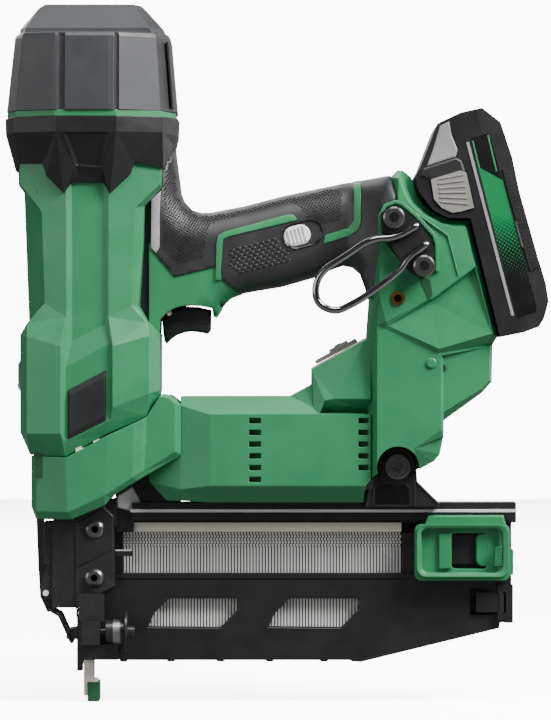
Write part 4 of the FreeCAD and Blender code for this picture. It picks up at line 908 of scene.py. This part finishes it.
def battery():
    """Details on the battery's flanks: plate, latch ribs, label, stripe and side bumper."""
    for side, word in SIDES.items():
        h = BATTERY_HALF
        plate = [(179.6, 295.2), (184.2, 297.4), (185.4, 290.6), (188.6, 283), (187.6, 279.6), (173, 274.8),
            (176, 283)]
        tiered(f"battery_plate_{word}", [(plate, h - 0.5), (plate, h + 0.2), (inset(plate, 0.6), h + 0.55)],
            side, "light_grey", body="battery")
        band = [(169.6, 269.6), (171, 273.6), (187.6, 279), (190.6, 277.6), (192.4, 271.8), (175.2, 267.4)]
        tiered(f"battery_shoulder_{word}", [(band, h - 0.5), (band, h + 0.1), (inset(band, 0.9), h + 0.75)],
            side, "black_satin", body="battery")
        for k in range(6):
            along = k / 5
            a = (178.4 + 1.2 * along, 268 - 11.4 * along)
            b = (191.6 + 2.4 * along, 270.4 - 15 * along)
            slab(f"battery_button_rib_{k}_{word}", strip([a, b], 0.9), side * (h + 0.5), side * (h + 1.25),
                "grey_plastic", bevel=0.25, body="battery_button_" + word)
        label = [(195.2, 289.2), (204.4, 291.6), (206.4, 286), (228.8, 203.6), (228.2, 200.2),
            (218.6, 197.6)]
        slab(f"battery_label_{word}", label, side * (h - 0.5), side * (h + 0.12), "battery_label",
            bevel=0.05, body="battery")
        slab(f"battery_stripe_{word}", strip([(193.6, 287), (216.6, 198.6)], 1.5), side * (h - 0.3),
            side * (h + 0.35), "light_grey", bevel=0.1, body="battery")
        for k, path in enumerate(([(196.2, 287.6), (199.6, 273.6)], [(204, 290.4), (208.4, 272)])):
            slab(f"battery_accent_{k}_{word}", strip(path, 0.8), side * (h - 0.3), side * (h + 0.3),
                "green_housing", bevel=0.1, body="battery")
        bumper = [(211.8, 273.4), (216.2, 274.9), (219.2, 262), (229.6, 224.6), (225.9, 222.4),
            (222.8, 233), (221, 233), (217.6, 246), (218.8, 248.4), (215.4, 259)]
        tiered(f"battery_bumper_{word}", [(bumper, h - 0.5), (bumper, h + 0.2),
            (inset(bumper, 0.5), h + 0.75)], side, "bumper_grey", slot="black_elastomer", body="battery")
        bm = bmesh.new()
        for i in range(24):
            for j in range(3):
                f = i / 23
                x, z = 215 + f * 11.4 + (j - 1) * 1.25, 271.4 - f * 45.6 + (j - 1) * 0.35
                if inside(x, z, inset(bumper, 0.9)):
                    lathe(bm, [(0.5, 0), (0.3, 0.35)], (x, side * (h + 0.7), z), (0, side, 0), 8)
        made(f"battery_pips_{word}", bm, "black_elastomer", body="battery")


# ---- magazine ------------------------------------------------------------------------------------------
WINDOW = [(30.5, 38.5), (31.2, 41), (33, 45), (40.5, 52.6), (41.8, 53), (75.4, 53), (76.6, 52.4), (77, 51),
          (76.6, 47.4), (68.4, 38.7), (67, 38)]
WINDOW_STEP = 62.3


def nails():
    """The collated strip: one shank for every nail, with staggered heads and chisel points."""
    pitch, first, bottom = 1.6, 1.9, 27.4
    bm = bmesh.new()
    for k in range(100):
        x = first + pitch * k
        shank = rect(x - 0.5, bottom + 0.8, x + 0.5, 79.4)
        prism(bm, shank, -0.72, 0.72)
        for j in range(5):
            z = 79.6 + 1.5 * j
            lean = 0.22 if j % 2 else -0.22
            prism(bm, rect(x - 0.52 + lean, z, x + 0.52 + lean, z + 1.25), -0.78, 0.78)
        prism(bm, [(x - 0.5, bottom), (x + 0.5, bottom + 0.3), (x + 0.5, bottom + 0.8),
            (x - 0.5, bottom + 0.8)], -0.7, 0.7)
    strip_of_nails = made("nails", bm, "nail_steel", slot="bright_steel")
    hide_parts("nail_strip")
    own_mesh(strip_of_nails)


def brackets(side, word):
    """One side's magazine mounts: the pale front arm, and the rear arch with its washer and a patch of
    painted shade for its recess.
    """
    near = 19.4
    arm = [(14, 100), (14, 106), (22, 111), (24.6, 106.4), (26.4, 102.8), (29, 101), (37, 100.4),
        (37, 98.6), (22.4, 98.2), (19.4, 98.6)]
    tiered(f"front_arm_{word}", [(arm, 4), (arm, 8.6), (inset(arm, 0.7), 9.4)], side, "rail_line",
        node="magazine_brackets")
    arch = [(142, 100.4), (143.2, 112), (147, 116.8)]
    arch += arc(158.5, 121.5, 9.8, range(205, -10, -18))
    arch += [(168.8, 113.8), (180.2, 102.6), (180.2, 100.4)]
    tiered(f"rear_bracket_{word}", [(arch, 15.4), (arch, near - 0.6), (inset(arch, 0.6), near)], side,
        "black_housing", node="magazine_brackets")
    for k, path in enumerate(([(142.8, 101), (144, 111.6), (148.4, 117)],
            [(168.4, 113.4), (179.4, 102.4)], [(167.6, 101), (167.2, 113)],
            [(146.2, 102), (146.4, 110)])):
        slab(f"bracket_rib_{k}_{word}", strip(path, 0.9), side * (near - 0.6), side * (near + 0.5),
            "black_satin", bevel=0.25, node="magazine_brackets")
    # a near-black patch that paints the recess's shade
    slab(f"bracket_recess_painted_shade_{word}", [(147, 102), (164.6, 102), (164.6, 110.6), (163, 112), (149.4, 112),
        (147, 109.4)], side * (near - 0.5), side * (near + 0.12), "black_gloss", bevel=0.1,
        node="magazine_brackets")
    turned(f"bracket_washer_{word}", [(6.6, 0), (6.6, 4.6), (6.2, 5), (5.2, 5), (4.8, 4.6), (3.4, 4.6),
        (3, 4.2), (2.7, 0.6)], (158.5, side * near, 121.5), (0, side, 0), "bolt_steel", 40,
        node="magazine_brackets")
    slab(f"bracket_foot_{word}", rect(142, 100.8, 180.4, 102.4), side * 10, side * 16, "black_housing",
        bevel=0.3, node="magazine_brackets")


def magazine():
    """Trim on the magazine: the pale rail line, painted shade in the rail's groove and the cover's crease,
    window rims, feet and the strip's guide.
    """
    for side, word in SIDES.items():
        slab(f"rail_line_{word}", rect(21, 97.6, 219.7, 99.2), side * 10.6, side * 11.5, "rail_line",
            bevel=0.2)
        # a dark strip of painted shade in the rail's groove
        slab(f"rail_groove_painted_shade_{word}", rect(22.4, 92.6, 217, 93.4), side * 10.8, side * 11.25, "black_gloss",
            bevel=0.1)
        brackets(side, word)
    for k in (0, 1):
        outline = [(x + WINDOW_STEP * k, z) for x, z in WINDOW]
        rimmed(f"window_rim_{k}", inset(outline, -0.9), inset(outline, 0.1), 5.2, 6.25, LEFT, "black_satin",
            5.6)
    for k, x in enumerate((17.5, 42, 67.5, 93, 121, 137)):
        slab(f"magazine_foot_{k}", [(x - 2.4, 21.6), (x - 1.7, 20.2), (x + 1.7, 20.2), (x + 2.4, 21.6)],
            -5.9, 5.9, "black_housing", bevel=0.2)
    # a dark strip of painted shade along the cover's crease
    slab("cover_crease_painted_shade", rect(13.4, 62.6, 166, 63.3), -5.6, -6.12, "black_gloss")
    slab("strip_guide", rect(13.2, 75, 22, 78.2), -9.4, -10.8, "black_housing", bevel=0.25)
    slab("strip_guide_edge", rect(13.2, 77.6, 22, 78.3), -10.6, -11, "rail_line", bevel=0.15)


# ---- pusher --------------------------------------------------------------------------------------------
def pusher():
    """The green thumb frame: a plate with a raised rim, a sunk floor, a rib and an opening."""
    outline = rounded(167.6, 62.6, 216.4, 91.7, 3.2, 4)
    bm = bmesh.new()
    prism(bm, outline, -6.6, -16.2)
    subtract(bm, lambda b: prism(b, rounded(171, 66.6, 211.2, 89.4, 3, 4), -18, -12.8))
    subtract(bm, lambda b: prism(b, rounded(186.6, 68.6, 205, 86.9, 2, 3), -20, -5))
    own = {"body": "pusher", "node": "pusher"}
    made("pusher_plate", bm, "green_shade", bevel=0.4, angle=30, **own)
    outer, inner = rounded(168.4, 64.4, 216, 91.6, 5, 6), rounded(170.6, 66.7, 212.6, 89.6, 4, 6)
    rimmed("pusher_rim", outer, inner, 13, 18.4, LEFT, "green_shade", 17.4, bevel=0.7, angle=30, **own)
    rib = rect(180, 68.6, 186.6, 87)
    slab("pusher_rib", rib, -12, -14.8, "green_shade", bevel=0.6, **own)
    base = [(172, 90), (215, 90), (213.2, 96.3), (174.4, 96.3)]
    top = [(173, 90.6), (214, 90.6), (212.4, 95.6), (175.2, 95.6)]
    tiered("pusher_tab", [(base, 11.4), (base, 16), (top, 16.8)], LEFT, "green_shade", bevel=0.3, **own)
    tail = [(215, 64), (218.4, 66), (218.4, 78.6), (215, 80.4)]
    slab("pusher_tail", tail, -8, -15.4, "green_shade", bevel=0.5, **own)
    guard = [(rounded(198.6, 69, 211, 87.6, 4, 4), 6.7), (rounded(199.6, 70, 210, 86.6, 3.4, 4), 12.6)]
    tiered("pusher_guard", guard, LEFT, "green_shade", bevel=0.3, **own)
    for k in range(10):
        z = 70.4 + k
        grip = [(208.6, z), (212.4, z + 0.3), (212.4, z + 0.8), (208.6, z + 0.5)]
        slab(f"pusher_grip_{k}", grip, -16.6, -18, "green_shade", bevel=0.15, **own)


# ---- nose ----------------------------------------------------------------------------------------------
def nose():
    """Raised faces, screw seats and edges on the nose castings and the depth adjuster."""
    for side, word in SIDES.items():
        cheek = [(-6.6, 68.6), (-6.6, 92.4), (7.6, 100.4), (12.4, 95.8), (12.4, 78.2)]
        tiered(f"nose_cheek_{word}", [(cheek, 12.6), (cheek, 13.1), (inset(cheek, 0.6), 13.6)], side,
            "black_satin")
        for k, (x, z) in enumerate(((3, 89), (2.7, 63.8))):
            turned(f"nose_screw_seat_{k}_{word}", [(5, 0), (5, 1), (4.6, 1.4)], (x, side * 12.6, z),
                (0, side, 0), "blackened_steel", 40)
    slab("lever_slot", [(-24.4, 70), (-22.2, 68), (-21.4, 92), (-24.2, 92)], -6.9, -7.4, "black_satin",
        bevel=0.3, body="latch_lever")
    turned("dial_knurl", [(6.35, 0), (6.35, 3.8)], (12.6, -17.5, 36.5), (1, 0, 0), "aluminium", 30,
        body="depth_dial")
    turned("dial_disc", [(10.2, 0), (10.2, 0.7), (9.6, 1.1)], (18.9, -17.5, 36.5), (1, 0, 0),
        "blackened_steel", 44, body="depth_dial")


for build in (head_housing, nose_housing, main_housing, handle, head_cap, head_collar, pads, hook_mount,
              liners, belt_hook, lock, trigger, battery, nails, magazine, pusher, nose):
    build()


# ---- plain CAD nodes: rounded edges and a material by slot ---------------------------------------------
SHARP = {"work_lamp": 0.8, "trigger": 0.8, "hook_plate": 0.5, "nose_block": 0.5, "front_block": 0.4,
    "latch_lever": 0.5, "nose_door": 0.3, "contact_arm": 0.3, "soft_tip": 0.5, "depth_carrier": 0.5,
    "magazine_body": 0.5, "magazine_cover": 0.4, "magazine_brackets": 0.6, "nail_stop": 0.3, "pusher": 0.8,
    "pusher_foot": 0.3, "battery_inner_case": 1.6, "battery_outer_case": 3.0, "control_panel": 0.2,
    "nail_rail": 0.3, "battery_button_left": 0.6, "battery_button_right": 0.6}
CAD_FINISH = {"screws_and_bolts": "bolt_steel", "battery_outer_case": "black_satin"}


def cad_nodes():
    """Every CAD node that is shown gets its finish and, where it is listed, rounded edges."""
    slots = {row["node"]: row["material_slot"] for row in frame["record"]["subparts"]}
    for name, thing in NODES.items():
        finish(thing, CAD_FINISH.get(name, slots[name]))
        if name in SHARP:
            soften(thing, SHARP[name], 30)


cad_nodes()


# ---- floor, light and camera ---------------------------------------------------------------------------
AMBIENT, BACKDROP, FLOOR_GLOW, FLOOR_LIT = 0.06, 11.0, 6.0, 2.4


def for_camera(tree, plain, seen, target):
    """Shows the camera one shader, and lights the tool with another."""
    path = tree.nodes.new("ShaderNodeLightPath")
    mix = tree.nodes.new("ShaderNodeMixShader")
    tree.links.new(path.outputs["Is Camera Ray"], mix.inputs["Fac"])
    tree.links.new(plain.outputs[0], mix.inputs[1])
    tree.links.new(seen.outputs[0], mix.inputs[2])
    tree.links.new(mix.outputs["Shader"], tree.nodes[target].inputs["Surface"])


def floor():
    """A pale floor just under the tool's tip."""
    bpy.ops.mesh.primitive_plane_add(size=6, location=(0, 0, -0.0005))
    plane = bpy.context.object
    plane.name = "floor"
    pale = Paint("pale_floor")
    pale.shader.inputs["Base Color"].default_value = linear(96, 96, 96)
    bright = pale.node("ShaderNodeBsdfDiffuse", Color=(FLOOR_LIT, FLOOR_LIT, FLOOR_LIT, 1))
    glow = pale.node("ShaderNodeEmission", Strength=FLOOR_GLOW)
    both = pale.node("ShaderNodeAddShader")
    pale.link(bright.outputs[0], both.inputs[0]).link(glow.outputs[0], both.inputs[1])
    for_camera(pale.tree, pale.shader, both, "Material Output")
    plane.data.materials.append(pale.material)


def backdrop():
    """A faint even light, seen by the camera as a white wall."""
    world = bpy.data.worlds.new("studio")
    bpy.context.scene.world = world
    world.use_nodes = True
    tree = world.node_tree
    light, seen = tree.nodes["Background"], tree.nodes.new("ShaderNodeBackground")
    for shader, strength in ((light, AMBIENT), (seen, BACKDROP)):
        shader.inputs["Color"].default_value = (1, 1, 1, 1)
        shader.inputs["Strength"].default_value = strength
    for_camera(tree, light, seen, "World Output")


def lamp(name, azimuth, elevation, distance, size, power):
    """A square soft light aimed at the middle; azimuth 0 is the camera's side, positive to the right."""
    centre = (cad_box[0] + cad_box[1]) / 2
    a, e = math.radians(azimuth), math.radians(elevation)
    away_from = Vector((math.sin(a) * math.cos(e), -math.cos(a) * math.cos(e), math.sin(e)))
    data = bpy.data.lights.new(name, "AREA")
    data.size, data.energy = size, power
    thing = bpy.data.objects.new(name, data)
    bpy.context.scene.collection.objects.link(thing)
    thing.location = centre + away_from * distance
    thing.rotation_euler = (-away_from).to_track_quat("-Z", "Y").to_euler()


def camera():
    """A long lens, level, looking along +Y at the middle of the tool."""
    frame_height, setback, drop = 1.0209, 0.012, 0.0034
    data = bpy.data.cameras.new("camera")
    thing = bpy.data.objects.new("camera", data)
    bpy.context.scene.collection.objects.link(thing)
    bpy.context.scene.camera = thing
    middle = (cad_box[0] + cad_box[1]) / 2
    height = (cad_box[1].z - cad_box[0].z) * frame_height
    data.lens, data.sensor_width = 200, 36
    distance = height * data.lens / data.sensor_width
    thing.location = (middle.x, cad_box[0].y - distance + setback, middle.z - drop)
    thing.rotation_euler = (math.radians(90), 0, 0)
    data.clip_start, data.clip_end = 0.05, 50


floor()
backdrop()
lamp("key", 58, 38, 1.6, 0.7, 60)
lamp("fill", -38, 14, 1.8, 1.0, 7)
lamp("front", 8, 68, 1.6, 0.8, 20)
lamp("left", -80, 12, 1.8, 0.9, 6)
lamp("back", 200, 34, 2.2, 1.8, 30)
lamp("back_low", 140, 12, 2.2, 1.6, 10)
camera()
